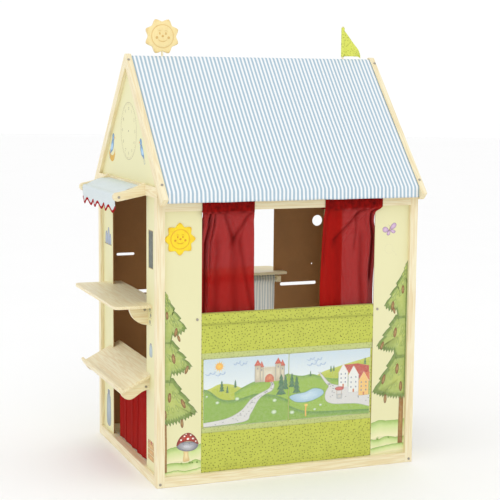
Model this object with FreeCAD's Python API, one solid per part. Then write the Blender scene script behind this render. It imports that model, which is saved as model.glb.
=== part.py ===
import FreeCAD, Part
import math
import os

# Children's wooden play house: a pine frame with thin panels, a striped cloth roof,
# a puppet stage on the front (-Y), a shop on the left end (-X), a post counter on the
# rear (+Y) and a plain doorway on the right end (+X).
# Millimetres. Origin on the floor at the centre of the four corner posts, +Z up.

# ---- driving dimensions: overall -------------------------------------------------
WIDTH = 960.0                # over the corner posts, along X
DEPTH = 755.0                # over the corner posts, along Y
WALL_HEIGHT = 975.0          # top of the corner posts
ROOF_PITCH = 47.2            # slope of the roof in degrees
EAVE_OVERHANG = 65.5         # rafter end beyond the front and rear faces

# ---- driving dimensions: timber --------------------------------------------------
POST_SECTION = 28.0
RAIL_HEIGHT = 35.0
RAFTER_DEPTH = 35.0
RAFTER_THICKNESS = 20.0
RAFTER_TIP_RADIUS = 12.0
RAFTER_END_RADIUS = 4.0
TIE_END_HEIGHT = 21.0        # tie rail left standing at the rafter's foot
BEAM_DROP = 44.0             # underside of the front and rear beams below the wall top
RIDGE_RAIL_WIDTH = 20.0
EAVE_RAIL_SECTION = 28.0
EAVE_RAIL_INSET = 22.0       # roof cloth's bend behind the rafter ends
HEM_LENGTH = 36.8            # roof cloth hanging below its bend

# ---- driving dimensions: panels --------------------------------------------------
PANEL_THICKNESS = 3.5
PANEL_RECESS = 12.5
FRONT_STRIP_WIDTH = 132.0
END_STRIP_WIDTH = 132.5
REAR_PANEL_WIDTH = 217.0

# ---- driving dimensions: rear panel cut-outs -------------------------------------
LETTER_SLOT_LENGTH = 158.0
LETTER_SLOT_HEIGHT = 13.0
LETTER_SLOT_EDGE = 29.0      # from the panel's inner edge
LETTER_SLOT_Z = 550.0
COIN_SLOT_LENGTH = 71.0
COIN_SLOT_HEIGHT = 10.0
COIN_SLOT_EDGE = 108.0
COIN_SLOT_Z = 697.0
SPEAK_HOLE_RADIUS = 22.0
SPEAK_HOLE_MARGIN = 28.0     # centre from the post
SPEAK_HOLE_DROP = 172.0      # centre below the wall top
PEG_HOLE_RADIUS = 3.0
PEG_HOLE_MARGIN = 50.0
PEG_HOLE_Z = 628.0

# ---- driving dimensions: stage ---------------------------------------------------
STAGE_TOP = 583.0
STAGE_RAIL_DEPTH = 20.0
STAGE_RAIL_HEIGHT = 33.0
STAGE_RAIL_LAP = 30.0        # behind each front strip
STAGE_SCREW_INSET = 15.0
CURTAIN_LEFT_WIDTH = 183.0
CURTAIN_RIGHT_WIDTH = 199.0
CURTAIN_HEADER_LAP = 22.0    # header of the right curtain in front of the strip
CURTAIN_FULLNESS = 12.0
CURTAIN_TUCK = 23.0          # below the top of the stage
HEADER_HEM = 11.0            # seam below the beam
CURTAIN_NECK = 24.0          # below the seam the curtain is as full as its slab
APRON_THICKNESS = 1.5
POCKET_TOP_BAND = (430.0, 447.0)
POCKET_LOW_BAND = (172.0, 188.0)
POCKET_SEAM = 6.0
POCKET_SIDE = 4.0
CARD_THICKNESS = 0.5
CARD_MARGIN = 4.0
FILM_THICKNESS = 0.5

# ---- driving dimensions: counters and tray ---------------------------------------
BOARD_THICKNESS = 10.0
COUNTER_TOP = 607.0
COUNTER_OUTSIDE = 130.5
COUNTER_INSIDE = 49.5
COUNTER_CORNER = 22.0
SHOP_COUNTER_LAP = 65.0
REAR_COUNTER_LAP = 39.0
COUNTER_BRACKET_RADIUS = 65.0
BRACKET_THICKNESS = 18.0
TRAY_WALL_TOP = 366.5        # tray's upper face at the wall
TRAY_TILT = 27.0
TRAY_INSIDE = 39.8
TRAY_OUTSIDE = 110.0
TRAY_LAP = 46.0
TRAY_LIP_THICKNESS = 10.0
TRAY_LIP_HEIGHT = 23.0
TRAY_BRACKET_LAP = 15.0
# lower edge of the tray bracket: distance from the wall, drop below TRAY_WALL_TOP
TRAY_BRACKET_CURVE = [(0.0, 57.5), (25.0, 62.0), (46.0, 76.0), (67.0, 86.0), (85.0, 82.0), (97.0, 69.0)]

# ---- driving dimensions: awning --------------------------------------------------
AWNING_BRACKET_LAP = 4.0
AWNING_BRACKET_THICKNESS = 20.0
AWNING_REACH = 108.0
AWNING_TIP_RADIUS = 14.5
AWNING_TIP_RISE = -5.0       # tip centre from the wall top
AWNING_FOOT_RISE = -1.0      # lower edge at the wall
AWNING_HEAD_RISE = 42.0      # upper edge at the wall
AWNING_EDGE_SAG = 5.0
AWNING_RAIL_RADIUS = 9.0
AWNING_RAIL_REACH = 90.0
AWNING_CLOTH_RISE = 29.0     # cloth at the wall above the wall top
AWNING_VALANCE_DROP = 60.0   # valance below the wall top

# ---- driving dimensions: rods and lower curtains ---------------------------------
ROD_RADIUS = 5.0
ROD_STANDOFF = 12.0
ROD_OVERRUN = 5.0
ROD_BLOCK_WIDTH = 18.0
ROD_BLOCK_HEIGHT = 24.0
SHOP_ROD_Z = 340.0
REAR_ROD_Z = 575.0
CURTAIN_FLOOR_GAP = 57.0
CURTAIN_SLAB = 10.0
SHOP_CURTAIN_GAP = 40.0      # opening left at the rear side of the shop curtain

# ---- driving dimensions: roof ornaments ------------------------------------------
STICK_RADIUS = 4.0
SOCKET_DEPTH = 25.0
SUN_INSET = 135.0            # sun stick from the left end
SUN_RADIUS = 60.0
SUN_WAVE = 3.5
SUN_LOBES = 8
SUN_THICKNESS = 12.0
SUN_FACE_RADIUS = 40.0
SUN_FACE_RAISE = 3.0
SUN_LIFT = 5.0               # sun above the ridge
STICK_GRIP = 12.0
FLAG_INSET = 126.0
FLAG_LENGTH = 84.0
FLAG_HOIST = 107.0
FLAG_LIFT = 8.0
STRIP_SUN_RADIUS = 51.5
STRIP_SUN_WAVE = 3.0
STRIP_SUN_THICKNESS = 6.0
STRIP_SUN_EDGE = 77.0        # centre from the strip's inner edge
STRIP_SUN_DROP = 137.0

# ---- driving dimensions: screws --------------------------------------------------
SCREW_HEAD_RADIUS = 4.5
SCREW_HEAD_HEIGHT = 1.8
SCREW_SHANK_RADIUS = 2.0
FRAME_SCREW_LENGTH = 50.0
PANEL_SCREW_LENGTH = 18.0
BRACKET_SCREW_LENGTH = 12.0
AWNING_SCREW_LENGTH = 38.0
APEX_SCREW_REACH = 25.0
APEX_SCREW_STAGGER = 4.0     # front and rear screws pass each other inside the peak
FOOT_SCREW_REACH = 24.5
FOOT_SCREW_Z = 12.0
POST_SCREW_INSET = 12.0

# ---- clearances ------------------------------------------------------------------
CLOTH_THICKNESS = 2.0
SOFT_CLEARANCE = 0.3         # cloth to anything it lies on
SLIDE_CLEARANCE = 0.8        # sliding curtain to its rail
STAGE_CLEARANCE = 1.0        # sliding curtain to the apron's fold
RUNNING_CLEARANCE = 0.05     # radial, stick in its socket and screw in its hole
SLOT_CLEARANCE = 0.3         # counter or tray round a panel
CLOTH_HOLE_CLEARANCE = 1.0   # roof cloth round a stick
ROOF_CLOTH_SINK = 1.0        # roof cloth below the rafters' outer edge
ROUNDING = 1.5               # softened edges of loose timber parts
OVERCUT = 1.0                # cutting tools run past the face they cut

# ---- places worked out from the dimensions ---------------------------------------
half_width = WIDTH / 2
half_depth = DEPTH / 2
pitch_sin = math.sin(math.radians(ROOF_PITCH))
pitch_cos = math.cos(math.radians(ROOF_PITCH))
pitch_tan = pitch_sin / pitch_cos
post_x = half_width - POST_SECTION
post_y = half_depth - POST_SECTION
ridge_z = WALL_HEIGHT + TIE_END_HEIGHT + RAFTER_DEPTH / pitch_cos + pitch_tan * half_depth
tie_top = WALL_HEIGHT + RAIL_HEIGHT
beam_bottom = WALL_HEIGHT - BEAM_DROP
beam_top = beam_bottom + RAIL_HEIGHT
rafter_x = half_width - RAFTER_THICKNESS
panel_out_x = half_width - PANEL_RECESS
panel_in_x = panel_out_x - PANEL_THICKNESS
panel_out_y = half_depth - PANEL_RECESS
panel_in_y = panel_out_y - PANEL_THICKNESS
stage_half = post_x - FRONT_STRIP_WIDTH
door_half = post_y - END_STRIP_WIDTH
window_half = post_x - REAR_PANEL_WIDTH
eave_y = half_depth + EAVE_OVERHANG - EAVE_RAIL_INSET
ridge_half = RIDGE_RAIL_WIDTH / 2
sun_x = -half_width + SUN_INSET
flag_x = half_width - FLAG_INSET


def roof_line(y, below):
    """Height of a line parallel to the roof, this far below the rafters' outer edge."""
    return ridge_z - pitch_tan * abs(y) - below / pitch_cos


cloth_under = ROOF_CLOTH_SINK + CLOTH_THICKNESS
ridge_cloth_top = roof_line(ridge_half, ROOF_CLOTH_SINK)
ridge_rail_top = roof_line(ridge_half, cloth_under + SOFT_CLEARANCE)
eave_rail_y = eave_y - CLOTH_THICKNESS - SOFT_CLEARANCE
eave_rail_top = roof_line(eave_rail_y, cloth_under + SOFT_CLEARANCE)
hem_bottom = roof_line(eave_y, ROOF_CLOTH_SINK) - HEM_LENGTH


# ---- building blocks -------------------------------------------------------------
def box(x0, x1, y0, y1, z0, z1):
    corner = FreeCAD.Vector(min(x0, x1), min(y0, y1), min(z0, z1))
    return Part.makeBox(abs(x1 - x0), abs(y1 - y0), abs(z1 - z0), corner)


def polygon_edges(points):
    closed = points + [points[0]]
    return [Part.LineSegment(a, b).toShape() for a, b in zip(closed, closed[1:])]


def extrude(edges, vector):
    return Part.Face(Part.Wire(edges)).extrude(vector)


def prism_x(outline, x0, x1):
    """Solid from a (y, z) outline, from x0 to x1."""
    points = [FreeCAD.Vector(x0, y, z) for y, z in outline]
    return extrude(polygon_edges(points), FreeCAD.Vector(x1 - x0, 0, 0))


def prism_y(outline, y0, y1):
    """Solid from an (x, z) outline, from y0 to y1."""
    points = [FreeCAD.Vector(x, y0, z) for x, z in outline]
    return extrude(polygon_edges(points), FreeCAD.Vector(0, y1 - y0, 0))


def rod(start, end, radius):
    axis = end.sub(start)
    return Part.makeCylinder(radius, axis.Length, start, axis)


def round_edges(solid, radius, wanted):
    """Round the straight edges whose middle point and direction pass the test."""
    edges = []
    for edge in solid.Edges:
        direction = edge.Vertexes[-1].Point.sub(edge.Vertexes[0].Point)
        if direction.Length > 0 and wanted(edge.CenterOfMass, direction.normalize()):
            edges.append(edge)
    return solid.makeFillet(radius, edges)


def mirror_x(solid):
    return solid.mirror(FreeCAD.Vector(0, 0, 0), FreeCAD.Vector(1, 0, 0))


def mirror_y(solid):
    return solid.mirror(FreeCAD.Vector(0, 0, 0), FreeCAD.Vector(0, 1, 0))


def both_ends(solid):
    return [solid, mirror_y(solid)]


def both_sides(solid):
    return [solid, mirror_x(solid)]


# ---- frame -----------------------------------------------------------------------
def frame_nodes():
    nodes = {}
    post = box(-half_width, -post_x, -half_depth, -post_y, 0, WALL_HEIGHT)
    nodes["post_left_front"] = [post]
    nodes["post_left_rear"] = [mirror_y(post)]
    nodes["post_right_front"] = [mirror_x(post)]
    nodes["post_right_rear"] = [mirror_x(mirror_y(post))]

    end_rail = box(-half_width, -post_x, -post_y, post_y, 0, RAIL_HEIGHT)
    nodes["bottom_rail_left"] = [end_rail]
    nodes["bottom_rail_right"] = [mirror_x(end_rail)]
    long_rail = box(-post_x, post_x, -half_depth, -post_y, 0, RAIL_HEIGHT)
    nodes["bottom_rail_front"] = [long_rail]
    nodes["bottom_rail_rear"] = [mirror_y(long_rail)]
    beam = box(-post_x, post_x, -half_depth, -post_y, beam_bottom, beam_top)
    nodes["beam_front"] = [beam]
    nodes["beam_rear"] = [mirror_y(beam)]

    tie = tie_rail()
    nodes["tie_rail_left"] = [tie]
    nodes["tie_rail_right"] = [mirror_x(tie)]
    rafter = front_rafter()
    nodes["rafter_left_front"] = [rafter]
    nodes["rafter_left_rear"] = [mirror_y(rafter)]
    nodes["rafter_right_front"] = [mirror_x(rafter)]
    nodes["rafter_right_rear"] = [mirror_x(mirror_y(rafter))]

    nodes["ridge_rail"] = [ridge_rail()]
    eave = box(-rafter_x, rafter_x, -eave_rail_y, -eave_rail_y + EAVE_RAIL_SECTION,
               eave_rail_top - EAVE_RAIL_SECTION, eave_rail_top)
    nodes["eave_rail_front"] = [eave]
    nodes["eave_rail_rear"] = [mirror_y(eave)]
    return nodes


def gable_half():
    """Half width of the gable at the top of the tie rail, inside the rafters."""
    return (ridge_z - RAFTER_DEPTH / pitch_cos - tie_top) / pitch_tan


def tie_rail():
    foot = WALL_HEIGHT + TIE_END_HEIGHT
    half = gable_half()
    outline = [(-half_depth, WALL_HEIGHT), (half_depth, WALL_HEIGHT), (half_depth, foot),
               (half, tie_top), (-half, tie_top), (-half_depth, foot)]
    return prism_x(outline, -half_width, -rafter_x)


def front_rafter():
    """Left front rafter, mitred at the ridge and rounded over at the peak."""
    tip_z = ridge_z - RAFTER_TIP_RADIUS / pitch_cos
    half_turn = math.radians(ROOF_PITCH / 2)

    def at(y, z):
        return FreeCAD.Vector(-half_width, y, z)

    def on_tip(angle):
        return at(-RAFTER_TIP_RADIUS * math.sin(angle), tip_z + RAFTER_TIP_RADIUS * math.cos(angle))

    end_y = half_depth + EAVE_OVERHANG
    end_z = roof_line(end_y, 0)
    outer = at(-end_y, end_z)
    inner = at(-end_y + RAFTER_DEPTH * pitch_sin, end_z - RAFTER_DEPTH * pitch_cos)
    peak = on_tip(0)
    under_peak = at(0, ridge_z - RAFTER_DEPTH / pitch_cos)
    tangent = on_tip(2 * half_turn)
    edges = [Part.Arc(peak, on_tip(half_turn), tangent).toShape(),
             Part.LineSegment(tangent, outer).toShape(),
             Part.LineSegment(outer, inner).toShape(),
             Part.LineSegment(inner, under_peak).toShape(),
             Part.LineSegment(under_peak, peak).toShape()]
    rafter = extrude(edges, FreeCAD.Vector(RAFTER_THICKNESS, 0, 0))

    def at_the_foot(middle, direction):
        return abs(direction.x) > 0.9 and middle.y < -half_depth - EAVE_OVERHANG / 3

    return round_edges(rafter, RAFTER_END_RADIUS, at_the_foot)


def ridge_rail():
    """Rail along the ridge with two sockets for the ornament sticks."""
    rail = box(-rafter_x, rafter_x, -ridge_half, ridge_half, ridge_rail_top - RAIL_HEIGHT, ridge_rail_top)
    for x in (sun_x, flag_x):
        mouth = FreeCAD.Vector(x, 0, ridge_rail_top + OVERCUT)
        floor = FreeCAD.Vector(x, 0, ridge_rail_top - SOCKET_DEPTH)
        rail = rail.cut(rod(floor, mouth, STICK_RADIUS + RUNNING_CLEARANCE))
    return rail


# ---- panels ----------------------------------------------------------------------
def panel_nodes():
    nodes = {}
    front = box(-post_x, -stage_half, -panel_out_y, -panel_in_y, RAIL_HEIGHT, beam_bottom)
    nodes["front_panel_left"] = [front]
    nodes["front_panel_right"] = [mirror_x(front)]

    end = box(-panel_out_x, -panel_in_x, -post_y, -door_half, RAIL_HEIGHT, WALL_HEIGHT)
    nodes["left_panel_front"] = [end]
    nodes["left_panel_rear"] = [mirror_y(end)]
    nodes["right_panel_front"] = [mirror_x(end)]
    nodes["right_panel_rear"] = [mirror_x(mirror_y(end))]

    gable = prism_x([(-gable_half(), tie_top), (gable_half(), tie_top),
                     (0, ridge_z - RAFTER_DEPTH / pitch_cos)], -panel_out_x, -panel_in_x)
    nodes["gable_panel_left"] = [gable]
    nodes["gable_panel_right"] = [mirror_x(gable)]

    rear = rear_panel_with_letter_slot()
    hole_x = post_x - SPEAK_HOLE_MARGIN
    hole_z = WALL_HEIGHT - SPEAK_HOLE_DROP
    right = cut_round(rear, hole_x, hole_z, SPEAK_HOLE_RADIUS)
    nodes["rear_panel_right"] = [cut_round(right, post_x - PEG_HOLE_MARGIN, PEG_HOLE_Z, PEG_HOLE_RADIUS)]
    slot_start = window_half + COIN_SLOT_EDGE
    coin_slot = rear_slot(slot_start, COIN_SLOT_LENGTH, COIN_SLOT_Z, COIN_SLOT_HEIGHT)
    nodes["rear_panel_left"] = [mirror_x(rear.cut(coin_slot))]
    return nodes


def rear_slot(start_x, length, middle_z, height):
    """Tool for a slot with round ends through a rear panel, from start_x outwards."""
    radius = height / 2
    near = panel_in_y - OVERCUT
    far = panel_out_y + OVERCUT
    tool = box(start_x + radius, start_x + length - radius, near, far, middle_z - radius, middle_z + radius)
    for x in (start_x + radius, start_x + length - radius):
        end = rod(FreeCAD.Vector(x, near, middle_z), FreeCAD.Vector(x, far, middle_z), radius)
        tool = tool.fuse(end)
    return tool.removeSplitter()


def rear_panel_with_letter_slot():
    panel = box(window_half, post_x, panel_in_y, panel_out_y, RAIL_HEIGHT, beam_bottom)
    start = window_half + LETTER_SLOT_EDGE
    return panel.cut(rear_slot(start, LETTER_SLOT_LENGTH, LETTER_SLOT_Z, LETTER_SLOT_HEIGHT))


def cut_round(panel, x, z, radius):
    near = FreeCAD.Vector(x, panel_in_y - OVERCUT, z)
    far = FreeCAD.Vector(x, panel_out_y + OVERCUT, z)
    return panel.cut(rod(near, far, radius))


# ---- stage -----------------------------------------------------------------------
stage_rail_front = -panel_in_y
stage_rail_back = stage_rail_front + STAGE_RAIL_DEPTH
apron_back = stage_rail_front - SOFT_CLEARANCE
apron_front = apron_back - APRON_THICKNESS
apron_rear_fold = stage_rail_back + SOFT_CLEARANCE + APRON_THICKNESS
stage_rail_top = STAGE_TOP - SOFT_CLEARANCE - APRON_THICKNESS
apron_half = stage_half - SOFT_CLEARANCE


def stage_nodes():
    nodes = {}
    nodes["stage_rail"] = [box(-stage_half - STAGE_RAIL_LAP, stage_half + STAGE_RAIL_LAP, stage_rail_front,
                               stage_rail_back, stage_rail_top - STAGE_RAIL_HEIGHT, stage_rail_top)]
    nodes["stage_apron"] = [stage_apron()]
    nodes["apron_bindings"] = [apron_bindings()]
    nodes["picture_cards"] = pocket_layer(apron_front - SOFT_CLEARANCE, CARD_THICKNESS, CARD_MARGIN)
    film_back = apron_front - 2 * SOFT_CLEARANCE - CARD_THICKNESS
    nodes["picture_pockets"] = pocket_layer(film_back, FILM_THICKNESS, SOFT_CLEARANCE)
    left_start = -stage_half + SOFT_CLEARANCE
    nodes["curtain_left"] = [stage_curtain(left_start, CURTAIN_LEFT_WIDTH)]
    right_start = stage_half - SOFT_CLEARANCE - CURTAIN_RIGHT_WIDTH
    right = stage_curtain(right_start, CURTAIN_RIGHT_WIDTH)
    nodes["curtain_right"] = [right.fuse(header_lap()).removeSplitter()]
    return nodes


def stage_apron():
    """Apron cloth: a tunnel round the stage rail and a flat sheet down to the bottom rail."""
    low = stage_rail_top - STAGE_RAIL_HEIGHT - SOFT_CLEARANCE
    tunnel = box(-apron_half, apron_half, apron_front, apron_rear_fold, low - APRON_THICKNESS, STAGE_TOP)
    inside = box(-stage_half, stage_half, apron_back, stage_rail_back + SOFT_CLEARANCE,
                 low, stage_rail_top + SOFT_CLEARANCE)
    sheet = box(-apron_half, apron_half, apron_front, apron_back, RAIL_HEIGHT + SOFT_CLEARANCE, STAGE_TOP)
    return tunnel.cut(inside).fuse(sheet).removeSplitter()


def apron_bindings():
    """Two bands across the apron and the seam between the two pockets."""
    back = apron_front - SOFT_CLEARANCE
    front = apron_front - 2 * SOFT_CLEARANCE - CARD_THICKNESS - FILM_THICKNESS
    low_band = box(-apron_half, apron_half, front, back, POCKET_LOW_BAND[0], POCKET_LOW_BAND[1])
    top_band = box(-apron_half, apron_half, front, back, POCKET_TOP_BAND[0], POCKET_TOP_BAND[1])
    seam = box(-POCKET_SEAM / 2, POCKET_SEAM / 2, front, back, POCKET_LOW_BAND[1], POCKET_TOP_BAND[0])
    return low_band.fuse(top_band).fuse(seam).removeSplitter()


def pocket_layer(back, thickness, margin):
    """The same flat piece in each of the two pockets."""
    start = POCKET_SEAM / 2 + margin
    end = apron_half - POCKET_SIDE - margin
    piece = box(start, end, back - thickness, back, POCKET_LOW_BAND[1] + margin, POCKET_TOP_BAND[0] - margin)
    return both_sides(piece)


def stage_curtain(start_x, width):
    """Gathered curtain: a tunnel that slides on the front beam and a slab behind the stage."""
    wall = APRON_THICKNESS + SLIDE_CLEARANCE
    front = -half_depth - wall
    back = -post_y + wall
    seam_z = beam_bottom - HEADER_HEM
    slab_front = apron_rear_fold + STAGE_CLEARANCE
    slab_back = slab_front + CURTAIN_FULLNESS
    neck = seam_z - CURTAIN_NECK
    foot = STAGE_TOP - CURTAIN_TUCK
    outline = [(front, beam_top + wall), (back, beam_top + wall), (back, seam_z),
               (back + CURTAIN_FULLNESS / 2, neck), (slab_back, STAGE_TOP), (slab_back, foot),
               (slab_front, foot), (slab_front, STAGE_TOP), (back - CURTAIN_FULLNESS / 2, neck),
               (front, seam_z)]
    curtain = prism_x(outline, start_x, start_x + width)
    gap = SLIDE_CLEARANCE
    beam_space = box(start_x - OVERCUT, start_x + width + OVERCUT, -half_depth - gap, -post_y + gap,
                     beam_bottom - gap, beam_top + gap)
    return curtain.cut(beam_space)


def header_lap():
    """Front layer of the right curtain's header, in front of the strip."""
    wall = APRON_THICKNESS + SLIDE_CLEARANCE
    start = stage_half - SOFT_CLEARANCE - APRON_THICKNESS
    return box(start, stage_half + CURTAIN_HEADER_LAP, -half_depth - wall, -half_depth - SLIDE_CLEARANCE,
               beam_bottom - HEADER_HEM, beam_top + wall)


# ---- counters, tray and their brackets -------------------------------------------
def counter_board(half_length, opening_half, wall_out, wall_in):
    """Counter across an opening, slotted round the panels beside it.

    Length along Y, outward along -X; wall_out and wall_in are the panel's faces."""
    top = COUNTER_TOP
    board = box(-wall_out - COUNTER_OUTSIDE, -wall_out + COUNTER_INSIDE, -half_length, half_length,
                top - BOARD_THICKNESS, top)

    def outer_corner(middle, direction):
        return abs(direction.z) > 0.9 and middle.x < -wall_out

    board = round_edges(board, COUNTER_CORNER, outer_corner)
    return cut_panel_slots(board, half_length, opening_half, wall_out, wall_in)


def cut_panel_slots(board, half_length, opening_half, wall_out, wall_in):
    bounds = board.BoundBox
    slot = box(-wall_out - SLOT_CLEARANCE, -wall_in + SLOT_CLEARANCE, opening_half - SLOT_CLEARANCE,
               half_length + OVERCUT, bounds.ZMin - OVERCUT, bounds.ZMax + OVERCUT)
    return board.cut(slot).cut(mirror_y(slot))


def counter_bracket(opening_half, wall_out):
    """Quarter disc under the counter, with its straight edge on the panel."""
    low = COUNTER_TOP - BOARD_THICKNESS
    radius = COUNTER_BRACKET_RADIUS
    start = FreeCAD.Vector(-wall_out, opening_half, low)
    edge_end = FreeCAD.Vector(-wall_out - radius, opening_half, low)
    foot = FreeCAD.Vector(-wall_out, opening_half, low - radius)
    halfway = radius * math.sqrt(0.5)
    middle = FreeCAD.Vector(-wall_out - halfway, opening_half, low - halfway)
    edges = [Part.LineSegment(start, edge_end).toShape(),
             Part.Arc(edge_end, middle, foot).toShape(),
             Part.LineSegment(foot, start).toShape()]
    return extrude(edges, FreeCAD.Vector(0, BRACKET_THICKNESS, 0))


def to_rear(solid):
    """Turn a piece of the left end about Z so that it faces the rear."""
    turned = solid.copy()
    turned.rotate(FreeCAD.Vector(0, 0, 0), FreeCAD.Vector(0, 0, 1), -90)
    return turned


def tray_point(along, above):
    """(x, z) of a point on the tilted tray: distance outwards from the wall, height above it."""
    tilt = math.radians(TRAY_TILT)
    x = -panel_out_x - along * math.cos(tilt) - above * math.sin(tilt)
    z = TRAY_WALL_TOP - along * math.sin(tilt) + above * math.cos(tilt)
    return (x, z)


def tray_slab(from_along, to_along, from_above, to_above, half_length):
    outline = [tray_point(from_along, from_above), tray_point(to_along, from_above),
               tray_point(to_along, to_above), tray_point(from_along, to_above)]
    return prism_y(outline, -half_length, half_length)


def tray_bracket():
    """Ogee bracket under the tray, with its straight edge on the panel."""
    tilt = math.radians(TRAY_TILT)
    near = door_half + TRAY_BRACKET_LAP

    def under_board(reach):
        return TRAY_WALL_TOP - BOARD_THICKNESS / math.cos(tilt) - reach * math.tan(tilt)

    def at(reach, z):
        return FreeCAD.Vector(-panel_out_x - reach, near, z)

    curve_points = [at(reach, TRAY_WALL_TOP - drop) for reach, drop in TRAY_BRACKET_CURVE]
    curve = Part.BSplineCurve()
    curve.interpolate(curve_points)
    top_wall = at(0, under_board(0))
    reach = TRAY_BRACKET_CURVE[-1][0]
    top_end = at(reach, under_board(reach))
    edges = [curve.toShape(),
             Part.LineSegment(curve_points[-1], top_end).toShape(),
             Part.LineSegment(top_end, top_wall).toShape(),
             Part.LineSegment(top_wall, curve_points[0]).toShape()]
    return extrude(edges, FreeCAD.Vector(0, BRACKET_THICKNESS, 0))


def counter_nodes():
    nodes = {}
    shop_half = door_half + SHOP_COUNTER_LAP
    nodes["shop_counter"] = [counter_board(shop_half, door_half, panel_out_x, panel_in_x)]
    nodes["shop_counter_brackets"] = both_ends(counter_bracket(door_half, panel_out_x))
    rear_half = window_half + REAR_COUNTER_LAP
    rear_board = counter_board(rear_half, window_half, panel_out_y, panel_in_y)
    nodes["rear_counter"] = [to_rear(rear_board)]
    rear_brackets = both_ends(counter_bracket(window_half, panel_out_y))
    nodes["rear_counter_brackets"] = [to_rear(bracket) for bracket in rear_brackets]

    tray_half = door_half + TRAY_LAP
    board = tray_slab(-TRAY_INSIDE, TRAY_OUTSIDE, -BOARD_THICKNESS, 0, tray_half)
    nodes["shop_tray"] = [cut_panel_slots(board, tray_half, door_half, panel_out_x, panel_in_x)]
    lip = tray_slab(TRAY_OUTSIDE, TRAY_OUTSIDE + TRAY_LIP_THICKNESS, -BOARD_THICKNESS,
                    TRAY_LIP_HEIGHT - BOARD_THICKNESS, tray_half)
    nodes["tray_lip"] = [round_edges(lip, ROUNDING, lambda middle, direction: abs(direction.y) > 0.9)]
    nodes["tray_brackets"] = both_ends(tray_bracket())
    return nodes


# ---- awning ----------------------------------------------------------------------
awning_rail_x = -half_width - AWNING_RAIL_REACH
awning_rail_z = WALL_HEIGHT + AWNING_TIP_RISE
awning_side_in = door_half + AWNING_BRACKET_LAP
awning_side_out = awning_side_in + AWNING_BRACKET_THICKNESS


def awning_bracket():
    """Bracket on the tie rail with a round tip and a hollow upper edge."""
    tip_reach = AWNING_REACH - AWNING_TIP_RADIUS
    tip_z = WALL_HEIGHT + AWNING_TIP_RISE

    def at(reach, z):
        return FreeCAD.Vector(-half_width - reach, awning_side_in, z)

    foot = at(0, WALL_HEIGHT + AWNING_FOOT_RISE)
    head = at(0, WALL_HEIGHT + AWNING_HEAD_RISE)
    tip_low = at(tip_reach, tip_z - AWNING_TIP_RADIUS)
    tip_high = at(tip_reach, tip_z + AWNING_TIP_RADIUS)
    middle_z = (head.z + tip_high.z) / 2 - AWNING_EDGE_SAG
    edges = [Part.LineSegment(foot, tip_low).toShape(),
             Part.Arc(tip_low, at(AWNING_REACH, tip_z), tip_high).toShape(),
             Part.Arc(tip_high, at(tip_reach / 2, middle_z), head).toShape(),
             Part.LineSegment(head, foot).toShape()]
    return extrude(edges, FreeCAD.Vector(0, AWNING_BRACKET_THICKNESS, 0))


def awning_cloth():
    """Cloth from the tie rail over the awning rail, with a hanging valance."""
    inner = AWNING_RAIL_RADIUS + SOFT_CLEARANCE
    outer = inner + CLOTH_THICKNESS
    wall_x = -half_width - SOFT_CLEARANCE
    wall_z = WALL_HEIGHT + AWNING_CLOTH_RISE
    valance_z = WALL_HEIGHT - AWNING_VALANCE_DROP
    outline = [(wall_x, wall_z), (awning_rail_x, awning_rail_z + outer),
               (awning_rail_x - outer, awning_rail_z + outer), (awning_rail_x - outer, valance_z),
               (awning_rail_x - inner, valance_z), (awning_rail_x - inner, awning_rail_z + inner),
               (awning_rail_x, awning_rail_z + inner), (wall_x, wall_z - CLOTH_THICKNESS)]
    half = awning_side_in - SOFT_CLEARANCE
    return prism_y(outline, -half, half)


def awning_nodes():
    start = FreeCAD.Vector(awning_rail_x, -awning_side_in, awning_rail_z)
    end = FreeCAD.Vector(awning_rail_x, awning_side_in, awning_rail_z)
    return {"awning_brackets": both_ends(awning_bracket()),
            "awning_rail": [rod(start, end, AWNING_RAIL_RADIUS)],
            "awning_cloth": [awning_cloth()]}


# ---- rods and lower curtains -----------------------------------------------------
def rod_set(opening_half, wall_in, height):
    """Rod across an opening along Y, and the two blocks that carry it on the panels."""
    x = -wall_in + ROD_STANDOFF
    rod_half = opening_half + ROD_OVERRUN
    curtain_rod = rod(FreeCAD.Vector(x, -rod_half, height), FreeCAD.Vector(x, rod_half, height), ROD_RADIUS)
    block = box(-wall_in, -wall_in + 2 * ROD_STANDOFF, rod_half, rod_half + ROD_BLOCK_WIDTH,
                height - ROD_BLOCK_HEIGHT / 2, height + ROD_BLOCK_HEIGHT / 2)
    return curtain_rod, both_ends(block)


def rod_curtain(start_y, end_y, wall_in, height):
    """Curtain hanging from a rod along Y: a tunnel with a slab below it."""
    x = -wall_in + ROD_STANDOFF
    inner = ROD_RADIUS + SLIDE_CLEARANCE
    outer = inner + CLOTH_THICKNESS
    tunnel = box(x - outer, x + outer, start_y, end_y, height - outer, height + outer)
    slab = box(x - CURTAIN_SLAB / 2, x + CURTAIN_SLAB / 2, start_y, end_y, CURTAIN_FLOOR_GAP, height - inner)
    hole_start = FreeCAD.Vector(x, start_y - OVERCUT, height)
    hole = rod(hole_start, FreeCAD.Vector(x, end_y + OVERCUT, height), inner)
    return tunnel.fuse(slab).removeSplitter().cut(hole)


def lower_curtain_nodes():
    shop_rod, shop_blocks = rod_set(door_half, panel_in_x, SHOP_ROD_Z)
    rear_rod, rear_blocks = rod_set(window_half, panel_in_y, REAR_ROD_Z)
    shop = rod_curtain(-door_half, door_half - SHOP_CURTAIN_GAP, panel_in_x, SHOP_ROD_Z)
    rear = rod_curtain(-window_half, window_half, panel_in_y, REAR_ROD_Z)
    return {"shop_curtain_rod": [shop_rod],
            "shop_curtain": [shop],
            "rear_curtain_rod": [to_rear(rear_rod)],
            "rear_curtain": [to_rear(rear)],
            "rod_blocks": shop_blocks + [to_rear(block) for block in rear_blocks]}


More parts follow.
